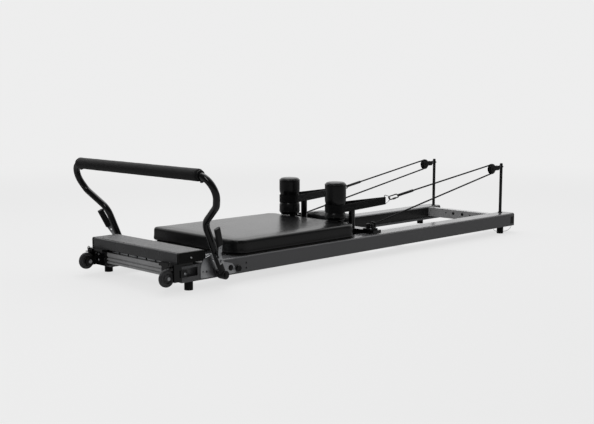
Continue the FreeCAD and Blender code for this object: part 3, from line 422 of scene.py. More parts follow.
def piece(name, made, body, slot, material=None, stands_for=()):
    """Links a finished mesh, gives it the material of its slot unless one is handed in, puts it on its body, and
    hides the nodes that it stands for.
    """
    mesh = as_mesh(name, made) if isinstance(made, bmesh.types.BMesh) else made
    mesh.name = name
    thing = bpy.data.objects.new(name, mesh)
    bpy.context.scene.collection.objects.link(thing)
    mesh.materials.clear()
    mesh.materials.append(material or MATERIALS[slot])
    for face in mesh.polygons:
        face.use_smooth = True
    if body:
        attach(thing, body)
    if stands_for:
        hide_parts(*stands_for)
    return thing


def sharpen(thing, degrees=35):
    """Marks the edges that turn by more than this as sharp."""
    shape = bmesh.new()
    shape.from_mesh(thing.data)
    for edge in shape.edges:
        if len(edge.link_faces) == 2 and edge.calc_face_angle(0) > math.radians(degrees):
            edge.smooth = False
    shape.to_mesh(thing.data)
    shape.free()
    return thing


def spread(count, start=0.0, stop=1.0):
    return [start + (stop - start) * i / (count - 1) for i in range(count)]


def lathe(shape, profile, centre, axis="z", sides=48):
    """Turns a closed or pole-to-pole profile of (along, radius) about an axis through centre."""
    turns = {"z": Matrix(), "y": Matrix.Rotation(-math.pi / 2, 4, "X"),
             "x": Matrix.Rotation(math.pi / 2, 4, "Y")}
    rings = []
    for along, radius in profile:
        if radius < 1e-7:
            rings.append([shape.verts.new(turns[axis] @ Vector((0, 0, along)) + centre)])
            continue
        ring = []
        for i in range(sides):
            angle = 2 * math.pi * i / sides
            spot = Vector((radius * math.cos(angle), radius * math.sin(angle), along))
            ring.append(shape.verts.new(turns[axis] @ spot + centre))
        rings.append(ring)
    pairs = list(zip(rings, rings[1:]))
    if len(rings[0]) > 1 and len(rings[-1]) > 1:
        pairs.append((rings[-1], rings[0]))
    for low, high in pairs:
        for i in range(sides):
            j = (i + 1) % sides
            corners = [low[i % len(low)], low[j % len(low)], high[j % len(high)], high[i % len(high)]]
            unique = list(dict.fromkeys(corners))
            if len(unique) > 2:
                shape.faces.new(unique)


def frames_along(points, up=None, closed=False):
    """A tangent and two normals at each point of a path, carried along without twisting."""
    count = len(points)
    tangents = []
    for i in range(count):
        before = points[i - 1] if closed or i else points[0]
        after = points[(i + 1) % count] if closed or i < count - 1 else points[-1]
        tangents.append((after - before).normalized())
    side = None
    found = []
    for tangent in tangents:
        if up is not None:
            side = up.cross(tangent).normalized()
        elif side is None:
            side = tangent.orthogonal().normalized()
        else:
            side = (side - tangent * side.dot(tangent)).normalized()
        found.append((tangent, side, tangent.cross(side).normalized()))
    return found


def sweep(shape, points, section, up=None, closed=False):
    """Sweeps a closed section of (side, up) pairs along points.  The UV map runs in metres, round the
    section in U and along the path in V."""
    layer = shape.loops.layers.uv.verify()
    rings, run = [], [0.0]
    for spot, (_, side, lift) in zip(points, frames_along(points, up, closed)):
        rings.append([shape.verts.new(spot + side * a + lift * b) for a, b in section])
    around = [0.0]
    for (a, b), (c, d) in zip(section, section[1:] + section[:1]):
        around.append(around[-1] + math.hypot(c - a, d - b))
    steps = len(points) if closed else len(points) - 1
    for i in range(steps):
        run.append(run[-1] + (points[(i + 1) % len(points)] - points[i]).length)
    for i in range(steps):
        low, high = rings[i], rings[(i + 1) % len(points)]
        for k in range(len(section)):
            j = (k + 1) % len(section)
            face = shape.faces.new((low[k], low[j], high[j], high[k]))
            for loop, (u, v) in zip(face.loops, ((k, i), (k + 1, i), (k + 1, i + 1), (k, i + 1))):
                loop[layer].uv = (around[u], run[v])
    if not closed:
        shape.faces.new(rings[0])
        shape.faces.new(rings[-1])


def round_section(radius, sides):
    return [(radius * math.cos(2 * math.pi * i / sides), radius * math.sin(2 * math.pi * i / sides))
            for i in range(sides)]


def arc_points(centre, across, upwards, radius, start, stop, count):
    """Points on an arc in the plane of two unit vectors."""
    return [centre + across * (radius * math.cos(a)) + upwards * (radius * math.sin(a))
            for a in spread(count, start, stop)]


def plain_copy(thing):
    """The object's evaluated shape as a mesh of its own."""
    bpy.context.view_layer.update()
    graph = bpy.context.evaluated_depsgraph_get()
    return bpy.data.meshes.new_from_object(thing.evaluated_get(graph))


# ---- geometry nodes: stitches, fasteners, coils ---------------------------------------------

def new_tree(name, inputs):
    tree = bpy.data.node_groups.new(name, "GeometryNodeTree")
    tree.interface.new_socket("Geometry", in_out="INPUT", socket_type="NodeSocketGeometry")
    for word, kind in inputs.items():
        tree.interface.new_socket(word, in_out="INPUT", socket_type=kind)
    tree.interface.new_socket("Geometry", in_out="OUTPUT", socket_type="NodeSocketGeometry")
    return tree, tree.nodes.new("NodeGroupInput"), tree.nodes.new("NodeGroupOutput")


def add(tree, kind, settings=None, inputs=None):
    made = tree.nodes.new(kind)
    for key, setting in (settings or {}).items():
        setattr(made, key, setting)
    for key, value in (inputs or {}).items():
        if isinstance(value, bpy.types.NodeSocket):
            tree.links.new(value, made.inputs[key])
        else:
            made.inputs[key].default_value = value
    return made


def close_tree(tree, geometry, material_socket, end):
    real = add(tree, "GeometryNodeRealizeInstances", None, {"Geometry": geometry})
    painted = add(tree, "GeometryNodeSetMaterial", None,
                  {"Geometry": real.outputs[0], "Material": material_socket})
    tree.links.new(painted.outputs[0], end.inputs[0])
    return tree


def stitch_tree():
    """Short capsules laid end to end along every curve, with a gap between them."""
    tree, start, end = new_tree("stitches", {"Step": "NodeSocketFloat", "Long": "NodeSocketFloat",
                                             "Thick": "NodeSocketFloat", "Thread": "NodeSocketMaterial"})
    even = add(tree, "GeometryNodeResampleCurve", {"mode": "LENGTH"},
               {"Curve": start.outputs["Geometry"], "Length": start.outputs["Step"]})
    tangent = add(tree, "GeometryNodeInputTangent")
    turn = add(tree, "FunctionNodeAlignRotationToVector", {"axis": "X"}, {"Vector": tangent.outputs[0]})
    ball = add(tree, "GeometryNodeMeshUVSphere", None, {"Segments": 6, "Rings": 5, "Radius": 0.5})
    grown = add(tree, "ShaderNodeCombineXYZ", None, {"X": start.outputs["Long"], "Y": start.outputs["Thick"],
                                                     "Z": start.outputs["Thick"]})
    stitch = add(tree, "GeometryNodeInstanceOnPoints", None,
                 {"Points": even.outputs[0], "Instance": ball.outputs[0], "Rotation": turn.outputs[0],
                  "Scale": grown.outputs[0]})
    return close_tree(tree, stitch.outputs[0], start.outputs["Thread"], end)


def scatter_tree():
    """One shape on every point, its Z axis along the point's normal."""
    tree, start, end = new_tree("fasteners", {"Shape": "NodeSocketObject", "Finish": "NodeSocketMaterial"})
    normal = add(tree, "GeometryNodeInputNamedAttribute", {"data_type": "FLOAT_VECTOR"}, {"Name": "facing"})
    turn = add(tree, "FunctionNodeAlignRotationToVector", {"axis": "Z"}, {"Vector": normal.outputs[0]})
    shape = add(tree, "GeometryNodeObjectInfo", {"transform_space": "ORIGINAL"},
                {"Object": start.outputs["Shape"]})
    points = add(tree, "GeometryNodeMeshToPoints", None, {"Mesh": start.outputs["Geometry"]})
    laid = add(tree, "GeometryNodeInstanceOnPoints", None,
               {"Points": points.outputs[0], "Instance": shape.outputs["Geometry"],
                "Rotation": turn.outputs[0]})
    return close_tree(tree, laid.outputs[0], start.outputs["Finish"], end)


def coil_tree():
    """A coil along X on every point."""
    tree, start, end = new_tree("coils", {"Turns": "NodeSocketFloat", "Radius": "NodeSocketFloat",
                                          "Length": "NodeSocketFloat", "Wire": "NodeSocketFloat",
                                          "Finish": "NodeSocketMaterial"})
    helix = add(tree, "GeometryNodeCurveSpiral", None,
                {"Resolution": 10, "Rotations": start.outputs["Turns"],
                 "Start Radius": start.outputs["Radius"], "End Radius": start.outputs["Radius"],
                 "Height": start.outputs["Length"]})
    round_wire = add(tree, "GeometryNodeCurvePrimitiveCircle", None,
                     {"Resolution": 5, "Radius": start.outputs["Wire"]})
    wire = add(tree, "GeometryNodeCurveToMesh", None,
               {"Curve": helix.outputs[0], "Profile Curve": round_wire.outputs[0], "Fill Caps": True})
    laid = add(tree, "GeometryNodeTransform", None,
               {"Geometry": wire.outputs[0], "Rotation": (0, math.pi / 2, 0)})
    points = add(tree, "GeometryNodeMeshToPoints", None, {"Mesh": start.outputs["Geometry"]})
    coils = add(tree, "GeometryNodeInstanceOnPoints", None,
                {"Points": points.outputs[0], "Instance": laid.outputs[0]})
    smooth = add(tree, "GeometryNodeSetShadeSmooth", None, {"Geometry": coils.outputs[0]})
    return close_tree(tree, smooth.outputs[0], start.outputs["Finish"], end)


TREES = {"stitches": stitch_tree(), "fasteners": scatter_tree(), "coils": coil_tree()}


def grown(source, tree_name, values):
    """Runs a tree on a source object and returns the result as a plain mesh."""
    bpy.context.scene.collection.objects.link(source)
    tree = TREES[tree_name]
    modifier = source.modifiers.new("nodes", "NODES")
    modifier.node_group = tree
    keys = {item.name: item.identifier for item in tree.interface.items_tree
            if item.item_type == "SOCKET" and item.in_out == "INPUT"}
    for word, value in values.items():
        modifier[keys[word]] = value
    mesh = plain_copy(source)
    bpy.data.objects.remove(source)
    return mesh


STITCH_STEP, STITCH_LONG, STITCH_THICK = 3.2 * MM, 2.5 * MM, 0.7 * MM


def stitches(name, paths, body, slot):
    """Sewing stitches along paths of points; a path is (points, closed)."""
    line = bpy.data.curves.new(name, "CURVE")
    line.dimensions = "3D"
    for points, closed in paths:
        spline = line.splines.new("POLY")
        spline.points.add(len(points) - 1)
        for knot, spot in zip(spline.points, points):
            knot.co = (*spot, 1)
        spline.use_cyclic_u = closed
    mesh = grown(bpy.data.objects.new(name, line), "stitches",
                 {"Step": STITCH_STEP, "Long": STITCH_LONG, "Thick": STITCH_THICK, "Thread": THREAD})
    return piece(name, mesh, body, slot, THREAD)


def fasteners(name, head, spots, body, slot, stands_for=()):
    """A fastener head on every (place, facing) pair."""
    cloud = bpy.data.meshes.new(name)
    cloud.from_pydata([place for place, _ in spots], [], [])
    facing = cloud.attributes.new("facing", "FLOAT_VECTOR", "POINT")
    facing.data.foreach_set("vector", [n for _, way in spots for n in way])
    mesh = grown(bpy.data.objects.new(name, cloud), "fasteners", {"Shape": head, "Finish": MATERIALS[slot]})
    return sharpen(piece(name, mesh, body, slot, None, stands_for))


def socket_head(name, radius, high, key, shank=0.0):
    """A button head with a hexagon socket, its seat at the origin and its crown along +Z."""
    shape = bmesh.new()
    sides, deep = 24, high * 0.55
    crown = [(radius, 0.0), (radius, high * 0.35), (radius * 0.9, high * 0.75), (radius * 0.7, high)]
    rings = []
    for reach, lift in crown:
        rings.append([shape.verts.new((reach * math.cos(a), reach * math.sin(a), lift))
                      for a in (2 * math.pi * i / sides for i in range(sides))])

    def hexagon(lift):
        ring = []
        for i in range(sides):
            angle = 2 * math.pi * i / sides
            bend = (angle + math.pi / 6) % (math.pi / 3) - math.pi / 6
            reach = key / math.cos(bend)
            ring.append(shape.verts.new((reach * math.cos(angle), reach * math.sin(angle), lift)))
        return ring
    rings += [hexagon(high), hexagon(high - deep)]
    for low, upper in zip(rings, rings[1:]):
        for i in range(sides):
            j = (i + 1) % sides
            shape.faces.new((low[i], low[j], upper[j], upper[i]))
    shape.faces.new(rings[-1])
    if shank:
        tail = [shape.verts.new((v.co.x, v.co.y, -shank)) for v in rings[0]]
        for i in range(sides):
            j = (i + 1) % sides
            shape.faces.new((tail[i], tail[j], rings[0][j], rings[0][i]))
        shape.faces.new(tail)
    else:
        shape.faces.new(rings[0])
    mesh = as_mesh(name, shape)
    for face in mesh.polygons:
        face.use_smooth = True
    return bpy.data.objects.new(name, mesh)


# ---- padded pieces ------------------------------------------------------------------------

def inflated(name, mesh, voxel, cap, pinned, pressure=4.0):
    """Fills a closed shape like a stuffed cover: remeshed, blown up as cloth while its pinned points
    hold still, and held within cap of where it started."""
    thing = bpy.data.objects.new(name, mesh)
    bpy.context.scene.collection.objects.link(thing)
    remesh = thing.modifiers.new("remesh", "REMESH")
    remesh.mode = "VOXEL"
    remesh.voxel_size = voxel
    even = plain_copy(thing)
    thing.modifiers.clear()
    thing.data = even
    before = [v.co.copy() for v in even.vertices]
    held = thing.vertex_groups.new(name="held")
    held.add([i for i, spot in enumerate(before) if pinned(spot)], 1.0, "REPLACE")
    cloth = thing.modifiers.new("cloth", "CLOTH")
    cloth.settings.quality = 4
    cloth.settings.use_pressure = True
    cloth.settings.uniform_pressure_force = pressure
    cloth.settings.vertex_group_mass = "held"
    cloth.settings.effector_weights.gravity = 0
    cloth.settings.tension_stiffness = 25
    cloth.settings.compression_stiffness = 25
    cloth.settings.bending_stiffness = 2
    for step in range(1, 21):
        bpy.context.scene.frame_set(step)
    blown = plain_copy(thing)
    thing.modifiers.clear()
    bpy.context.scene.frame_set(1)
    for vertex, old, new in zip(even.vertices, before, blown.vertices):
        move = new.co - old
        if move.length > 1e-9:
            vertex.co = old + move * (cap * math.tanh(move.length / cap) / move.length)
    soft = thing.modifiers.new("relax", "SMOOTH")
    soft.factor, soft.iterations = 0.5, 2
    finer = thing.modifiers.new("finer", "SUBSURF")
    finer.levels = finer.render_levels = 1
    final = plain_copy(thing)
    bpy.data.objects.remove(thing)
    return final


def cushion_shape(low, high, corners, edge, rows=6):
    """A closed slab with rounded corners in plan and rounded top and bottom edges; the corners'
    radii run from the head end's left corner through the foot end's left and right."""
    shape = bmesh.new()
    centre = (low + high) / 2
    half = (high - low) / 2
    profile = []
    for a in spread(rows, -math.pi / 2, 0):
        profile.append((edge * (1 - math.cos(a)), low.z + edge + edge * math.sin(a)))
    for a in spread(rows, 0, math.pi / 2):
        profile.append((edge * (1 - math.cos(a)), high.z - edge + edge * math.sin(a)))
    rings = []
    for inset, level in profile:
        ring = []
        for quarter in range(4):
            sx, sy = ((1, 1), (-1, 1), (-1, -1), (1, -1))[quarter]
            corner = corners[quarter]
            reach = max(corner - inset, 0.002)
            middle = Vector((centre.x + sx * (half.x - corner), centre.y + sy * (half.y - corner), level))
            for a in spread(7, quarter * math.pi / 2, (quarter + 1) * math.pi / 2):
                ring.append(shape.verts.new(middle + Vector((reach * math.cos(a), reach * math.sin(a), 0))))
        rings.append(ring)
    for lower, upper in zip(rings, rings[1:]):
        for i in range(len(lower)):
            j = (i + 1) % len(lower)
            shape.faces.new((lower[i], lower[j], upper[j], upper[i]))
    shape.faces.new(rings[0])
    shape.faces.new(rings[-1])
    return as_mesh("slab", shape)


def upholstered_slab(name, node, body, corners, edge, voxel, cap):
    """A stuffed vinyl pad on its board, blown up by at most cap and held still along its underside."""
    low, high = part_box(node)
    inset = Vector((cap, cap, 0)) * 0.3
    shape = cushion_shape(low + inset, high - inset - Vector((0, 0, cap * 0.7)), corners, edge)
    floor_of_it = low.z + 1.5 * voxel
    mesh = inflated(name, shape, voxel, cap, lambda spot: spot.z < floor_of_it)
    pad = piece(name, mesh, body, "vinyl", None, (node,))


WAIST_RISE = {"left": 22 * MM, "right": 20 * MM}
WAIST_DEEP, WAIST_TALL = 6.5 * MM, 25 * MM
ROLL_INSET, ROLL_FOOT_ROUND, ROLL_TOP_ROUND = 1.2 * MM, 12 * MM, 15 * MM
WELT_FROM_END, WELT_RADIUS, STITCH_OFF_WELT = 13 * MM, 1.3 * MM, 4.5 * MM


def shoulder_roll(side_name):
    """A stuffed upright roll; the strap draws it in a little at its waist."""
    side = SIDES[side_name]
    low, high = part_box("shoulder_pads")
    radius = (high.x - low.x) / 2
    centre = Vector(((low.x + high.x) / 2, side * (high.y - radius), 0))
    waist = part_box(f"{side_name}_strap")[0].z + WAIST_RISE[side_name]
    profile = [(low.z, 0.0)]
    start = radius - ROLL_INSET
    for a in spread(7, -math.pi / 2, 0):
        profile.append((low.z + ROLL_FOOT_ROUND + ROLL_FOOT_ROUND * math.sin(a),
                        start - ROLL_FOOT_ROUND + ROLL_FOOT_ROUND * math.cos(a)))
    for level in spread(25, low.z + 20 * MM, high.z - 22 * MM):
        pinch = math.exp(-((level - waist) / WAIST_TALL) ** 4)
        profile.append((level, start - WAIST_DEEP * pinch))
    for a in spread(8, 0, math.pi / 2):
        profile.append((high.z - 17 * MM + ROLL_TOP_ROUND * math.sin(a),
                        start - ROLL_TOP_ROUND + ROLL_TOP_ROUND * math.cos(a)))
    profile.append((high.z - 2 * MM, 0.0))
    shape = bmesh.new()
    lathe(shape, profile, centre, "z", 56)
    mesh = as_mesh("roll", shape)

    def held(spot):
        return spot.z < low.z + 3 * MM or abs(spot.z - waist) < 14 * MM
    mesh = inflated(f"{side_name}_shoulder_roll", mesh, 4.5 * MM, 2.4 * MM, held)
    roll = piece(f"{side_name}_shoulder_roll", mesh, "carriage", "vinyl", None, ("shoulder_pads",))
    seams = [arc_points(Vector((centre.x, centre.y, level)), Vector((1, 0, 0)), Vector((0, 1, 0)), start,
                        0, 2 * math.pi * 71 / 72, 72)
             for level in (high.z - WELT_FROM_END, low.z + WELT_FROM_END)]
    welt = bmesh.new()
    for seam in seams:
        sweep(welt, seam, round_section(WELT_RADIUS, 8), Vector((0, 0, 1)), True)
    piece(f"{side_name}_roll_welts", welt, "carriage", "vinyl")
    rows = []
    for seam, away in zip(seams, (-STITCH_OFF_WELT, STITCH_OFF_WELT)):
        rows.append(([spot + Vector((0, 0, away)) for spot in seam], True))
    stitches(f"{side_name}_roll_stitches", rows, "carriage", "vinyl")


make_camera()


# ---- cord ---------------------------------------------------------------------------------

LANYARD = [(1.067, -0.250, 0.0344), (1.073, -0.250, 0.022), (1.089, -0.252, 0.011), (1.111, -0.253, 0.0045),
           (1.135, -0.261, 0.003), (1.157, -0.272, 0.005), (1.175, -0.281, 0.012), (1.186, -0.286, 0.022),
           (1.190, -0.288, 0.0344)]
LANYARD_THICK = 2 * MM


def lanyard():
    """A thin loop that hangs under the head end of the right rail, behind the foot."""
    line = bpy.data.curves.new("lanyard_cord", "CURVE")
    line.dimensions = "3D"
    line.bevel_depth = LANYARD_THICK / 2
    line.use_fill_caps = True
    spline = line.splines.new("NURBS")
    spline.points.add(len(LANYARD) - 1)
    for knot, spot in zip(spline.points, LANYARD):
        knot.co = (*spot, 1)
    spline.order_u = 3
    spline.use_endpoint_u = True
    line.materials.append(MATERIALS["wire"])
    cord = bpy.data.objects.new("lanyard_cord", line)
    bpy.context.scene.collection.objects.link(cord)
    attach(cord, "root")
    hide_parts("lanyard_loop")


lanyard()

# ---- floor and light ----------------------------------------------------------------------

FLOOR_GLOW, FLOOR_GLOW_SEEN_BY_PIECES, NEAR_GLOW = 1.0, 0.18, 1.125
GLOW_SHARE, FLOOR_ALBEDO, FLOOR_RADIUS = 0.72, 0.80, 60.0
FADE_FROM, FADE_TO = 2.2, 6.0
DIM_SIDE, BRIGHT_SIDE = 0.10, 1.15
BRIGHT_WAY = (0.62, 0.62, 0.48)
DIM_UP_TO, BRIGHT_FROM = 0.10, 0.85
# name, place, target, size and power
SOFTBOXES = [("top_softbox", (0.6, 0.9, 3.2), (0, 0, 0.2), (2.6, 1.6), 26),
             ("side_softbox", (-2.6, -1.2, 2.2), (-0.9, 0, 0.2), (0.5, 1.6), 9)]


def room_light(world):
    """Even for the camera; for the pieces dim on the near side, and bright behind and overhead."""
    g = Graph("room", world)
    way = g.node("ShaderNodeTexCoord", out="Generated")
    behind = Vector(BRIGHT_WAY).normalized()
    turned = g.node("ShaderNodeVectorMath", {"operation": "DOT_PRODUCT"}, {0: way, 1: behind}, 1)
    lit = turned.between(DIM_UP_TO, BRIGHT_FROM) * (BRIGHT_SIDE - DIM_SIDE) + DIM_SIDE
    seen = g.node("ShaderNodeLightPath", out="Is Camera Ray")
    strength = seen + (1 - seen) * lit
    g.node_out(g.node("ShaderNodeBackground", None, {"Color": (*STUDIO_GREY, 1), "Strength": strength}),
               "ShaderNodeOutputWorld")


def make_studio():
    """A pale floor that fades into an even pale room."""
    g = Graph("studio_floor")
    at = g.place()
    distance = g.node("ShaderNodeVectorMath", {"operation": "LENGTH"}, {"Vector": at}, 1)
    away = distance.between(FADE_FROM, FADE_TO)
    lit = g.node("ShaderNodeBsdfDiffuse", None, {"Color": (FLOOR_ALBEDO, FLOOR_ALBEDO, FLOOR_ALBEDO, 1)})
    seen = g.node("ShaderNodeLightPath", out="Is Camera Ray")
    bright = seen * (FLOOR_GLOW - FLOOR_GLOW_SEEN_BY_PIECES) + FLOOR_GLOW_SEEN_BY_PIECES
    glow = g.node("ShaderNodeEmission", None, {"Color": (*STUDIO_GREY, 1), "Strength": bright})
    near_glow = g.node("ShaderNodeEmission", None,
                       {"Color": (*STUDIO_GREY, 1), "Strength": bright * NEAR_GLOW})
    near = g.node("ShaderNodeMixShader", None, {0: GLOW_SHARE, 1: lit, 2: near_glow})
    g.node_out(g.node("ShaderNodeMixShader", None, {0: away, 1: near, 2: glow}))
    shape = bmesh.new()
    bmesh.ops.create_circle(shape, cap_ends=True, segments=96, radius=FLOOR_RADIUS)
    mesh = bpy.data.meshes.new("floor")
    shape.to_mesh(mesh)
    shape.free()
    floor = bpy.data.objects.new("floor", mesh)
    bpy.context.scene.collection.objects.link(floor)
    mesh.materials.append(g.material)

    world = bpy.data.worlds.new("room")
    bpy.context.scene.world = world
    room_light(world)
    bpy.context.scene.view_settings.view_transform = "Standard"
    for softbox in SOFTBOXES:
        area_light(*softbox)


make_studio()

# ---- upholstery ---------------------------------------------------------------------------

CARRIAGE_CORNERS = (45 * MM, 14 * MM, 52 * MM, 50 * MM)
HEADREST_CORNERS = [35 * MM] * 4
upholstered_slab("carriage_cushion", "carriage_pad", "carriage", CARRIAGE_CORNERS,
                 edge=8 * MM, voxel=7 * MM, cap=3 * MM)
upholstered_slab("headrest_cushion", "headrest_pad", "headrest", HEADREST_CORNERS,
                 edge=13 * MM, voxel=4.5 * MM, cap=5 * MM)
for side_name in SIDES:
    shoulder_roll(side_name)


def footbar_frame():
    """The middle of the footbar's top bar, and the foam's half length."""
    low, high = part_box("footbar_pad")
    middle = (low + high) / 2
    return middle, high.y + 6 * MM


def foam_sleeve():
    """A foam sleeve with rolled ends and a faintly uneven skin."""
    middle, half = footbar_frame()
    low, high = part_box("footbar_pad")
    outer = (high.x - low.x) / 2
    bore = outer - 10 * MM
    round_end, rings = 8 * MM, 40
    profile = [(-half + 2 * MM, bore), (-half + 0.4 * MM, bore + 1.6 * MM)]
    for a in spread(8, math.pi, math.pi / 2):
        profile.append((-half + round_end + round_end * math.cos(a),
                        outer - round_end + round_end * math.sin(a)))
    for i in range(1, rings):
        at = -half + round_end + (2 * half - 2 * round_end) * i / rings
        ripple = 0.18 * MM * math.sin(i * 2.1) + 0.14 * MM * math.sin(i * 0.77 + 1)
        profile.append((at, outer - 0.35 * MM + ripple))
    for a in spread(8, math.pi / 2, 0):
        profile.append((half - round_end + round_end * math.cos(a),
                        outer - round_end + round_end * math.sin(a)))
    profile += [(half - 0.4 * MM, bore + 1.6 * MM), (half - 2 * MM, bore)]
    shape = bmesh.new()
    lathe(shape, profile, middle, "y", 64)
    sleeve = piece("footbar_foam_grip", shape, "footbar", "foam", None, ("footbar_pad",))


foam_sleeve()

# ---- straps -------------------------------------------------------------------------------

STRAP_WIDE, STRAP_THICK = 36 * MM, 3.0 * MM
SEWN_LENGTH = 62 * MM
RING_SLOT = 4.9 * MM
# How far out the ring is, the height at the roll and the height at the ring
STRAP_END = {"left": (0.1992, 0.2510, 0.2538), "right": (0.1964, 0.2300, 0.2427)}
UP = Vector((0, 0, 1))


def strap_route(side_name):
    """The strap's middle line: round the roll, along two runs and round the ring's bar."""
    side = SIDES[side_name]
    ring_y, roll_z, ring_z = STRAP_END[side_name]
    low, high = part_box("shoulder_pads")
    radius = (high.x - low.x) / 2
    centre = Vector(((low.x + high.x) / 2, side * (high.y - radius), 0))
    outer = radius - 3.0 * MM
    target = Vector((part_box(f"{side_name}_strap")[1].x - 7 * MM, ring_y * side, 0))
    reach = target - centre
    heading = math.atan2(reach.y, reach.x)
    open_angle = math.acos((outer - RING_SLOT) / reach.length)
    plane = Vector((1, 0, 0)), Vector((0, 1, 0))
    around = arc_points(centre, *plane, outer, heading + open_angle, heading + 2 * math.pi - open_angle, 44)
    tip = arc_points(target, *plane, RING_SLOT, heading - open_angle, heading + open_angle, 12)
    runs = [[begin.lerp(end, i / 24) for i in range(1, 24)]
            for begin, end in ((around[-1], tip[0]), (tip[-1], around[0]))]
    route = around + runs[0] + tip + runs[1]
    for spot in route:
        spot.z = roll_z + (ring_z - roll_z) * (spot.x - centre.x) / (target.x - centre.x)
    return route, centre, target


def strap_section():
    """A flat band with slightly thicker selvedges."""
    half, thick = STRAP_WIDE / 2, STRAP_THICK / 2
    selvedge = [(math.sin(a) * thick * 1.12, half - thick + math.cos(a) * thick)
                for a in spread(5, -math.pi / 2, math.pi / 2)]
    flat = [(thick, half - 3 * MM), (thick, 0.0), (thick, -half + 3 * MM)]
    half_round = selvedge + flat
    return half_round + [(-a, -b) for a, b in half_round]


def hand_strap(side_name):
    """The webbing loop, with two rows of stitches and a sewn box on each run near the ring."""
    route, centre, target = strap_route(side_name)
    shape = bmesh.new()
    sweep(shape, route, strap_section(), UP, True)
    piece(f"{side_name}_strap_webbing", shape, "carriage", "webbing", None, (f"{side_name}_strap",))
    heading = (target - centre).normalized()
    outward = Vector((-heading.y, heading.x, 0))
    edge = STRAP_WIDE / 2 - 4 * MM
    rows = []
    for sign in (1, -1):
        sewn = [spot for spot in route if 4 * MM < (target - spot).xy.dot(heading.xy) < SEWN_LENGTH
                and (spot - target).dot(outward) * sign > 0]
        sewn.sort(key=lambda spot: spot.x)
        lifted = [spot + outward * sign * (STRAP_THICK / 2 + 0.15 * MM) for spot in sewn]
        rows += [([spot + UP * edge * rank for spot in lifted], False) for rank in (-1, -0.33, 0.33, 1)]
        rows += [([spot + UP * edge * v for v in (-1, 1)], False) for spot in (lifted[0], lifted[-1])]
    stitches(f"{side_name}_strap_stitches", rows, "carriage", "webbing")


for side_name in SIDES:
    hand_strap(side_name)

# ---- ropes --------------------------------------------------------------------------------

ROPE_RADIUS, ROPE_ROUND = 3.9 * MM, 24.2 * MM
BRAID_RELIEF = 0.35 * MM
ROPE_BEND_X = 1.015
ROPE_ENDS = {"left": ((0.083, 0.2445, 0.1455), (0.4946, 0.2074, 0.2880)),
             "right": ((0.083, -0.2445, 0.1455), (0.4266, -0.2047, 0.2778))}


def braided_run(name, points, body, node):
    """A rope with crossing strands, raised a little where they lie on top."""
    even = []
    pace = 1.7 * MM
    for begin, end in zip(points, points[1:]):
        steps = max(1, round((end - begin).length / pace))
        even += [begin.lerp(end, i / steps) for i in range(steps)]
    even.append(points[-1])
    shape = bmesh.new()
    layer = shape.loops.layers.uv.verify()
    sides, run, rings, lengths = 20, 0.0, [], []
    for index, (spot, (_, side, lift)) in enumerate(zip(even, frames_along(even))):
        run += (spot - even[index - 1]).length if index else 0.0
        lengths.append(run)
        ring = []
        for k in range(sides):
            turn = 2 * math.pi * k / sides
            along = 2 * math.pi * run / BRAID_PITCH
            over = max(math.cos(STRANDS * turn + along), math.cos(STRANDS * turn - along))
            reach = ROPE_RADIUS - BRAID_RELIEF * (1 - over) * 0.6
            ring.append(shape.verts.new(spot + side * reach * math.cos(turn) + lift * reach * math.sin(turn)))
        rings.append(ring)
    for i, (low, upper) in enumerate(zip(rings, rings[1:])):
        for k in range(sides):
            face = shape.faces.new((low[k], low[(k + 1) % sides], upper[(k + 1) % sides], upper[k]))
            for loop, (u, v) in zip(face.loops, ((k, i), (k + 1, i), (k + 1, i + 1), (k, i + 1))):
                loop[layer].uv = (u / sides, lengths[v])
    shape.faces.new(rings[0])
    shape.faces.new(rings[-1])
    return piece(name, shape, body, "rope", None, (node,))


def rope(side_name):
    """Cleat to sheave, half a turn round it, and back to the strap, as two straight runs and a wrap round the
    sheave."""
    centre = Vector(JOINTS[f"{side_name}_sheave_spin"]["pos_m"])
    touches = []
    for end, sign in zip((Vector(spot) for spot in ROPE_ENDS[side_name]), (-1, 1)):
        reach = centre - end
        slope = math.atan2(reach.z, reach.x) + sign * math.asin(ROPE_ROUND / math.hypot(reach.x, reach.z))
        touch = centre + Vector((-math.sin(slope), 0, math.cos(slope))) * ROPE_ROUND * sign
        bend_z = end.z + (ROPE_BEND_X - end.x) * math.tan(slope)
        run = braided_run(f"{side_name}_rope_{'lower' if sign < 0 else 'upper'}_run",
                          [end, Vector((ROPE_BEND_X, centre.y, bend_z)), touch], "root", f"{side_name}_rope")
        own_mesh(run)
        touches.append(slope)
    low, high = touches
    wrap = [centre + Vector((math.sin(a), 0, -math.cos(a))) * ROPE_ROUND
            for a in spread(40, low, high + math.pi)]
    braided_run(f"{side_name}_rope_round_sheave", wrap, "root", f"{side_name}_rope")


for side_name in SIDES:
    rope(side_name)

# ---- snap links ---------------------------------------------------------------------------

LINK_SPAN = {"left": (0.3228, 0.3890), "right": (0.2528, 0.3180)}
LINK_HALF, LINK_ROD, LINK_ROLL = 9 * MM, 3.1 * MM, 50


def run_point(side_name, x):
    """Where the upper rope's line passes a place x."""
    side = SIDES[side_name]
    near = Vector(ROPE_ENDS[side_name][1])
    far = Vector((1.060, side * 0.2293, 0.3716))
    return near.lerp(far, (x - near.x) / (far.x - near.x))


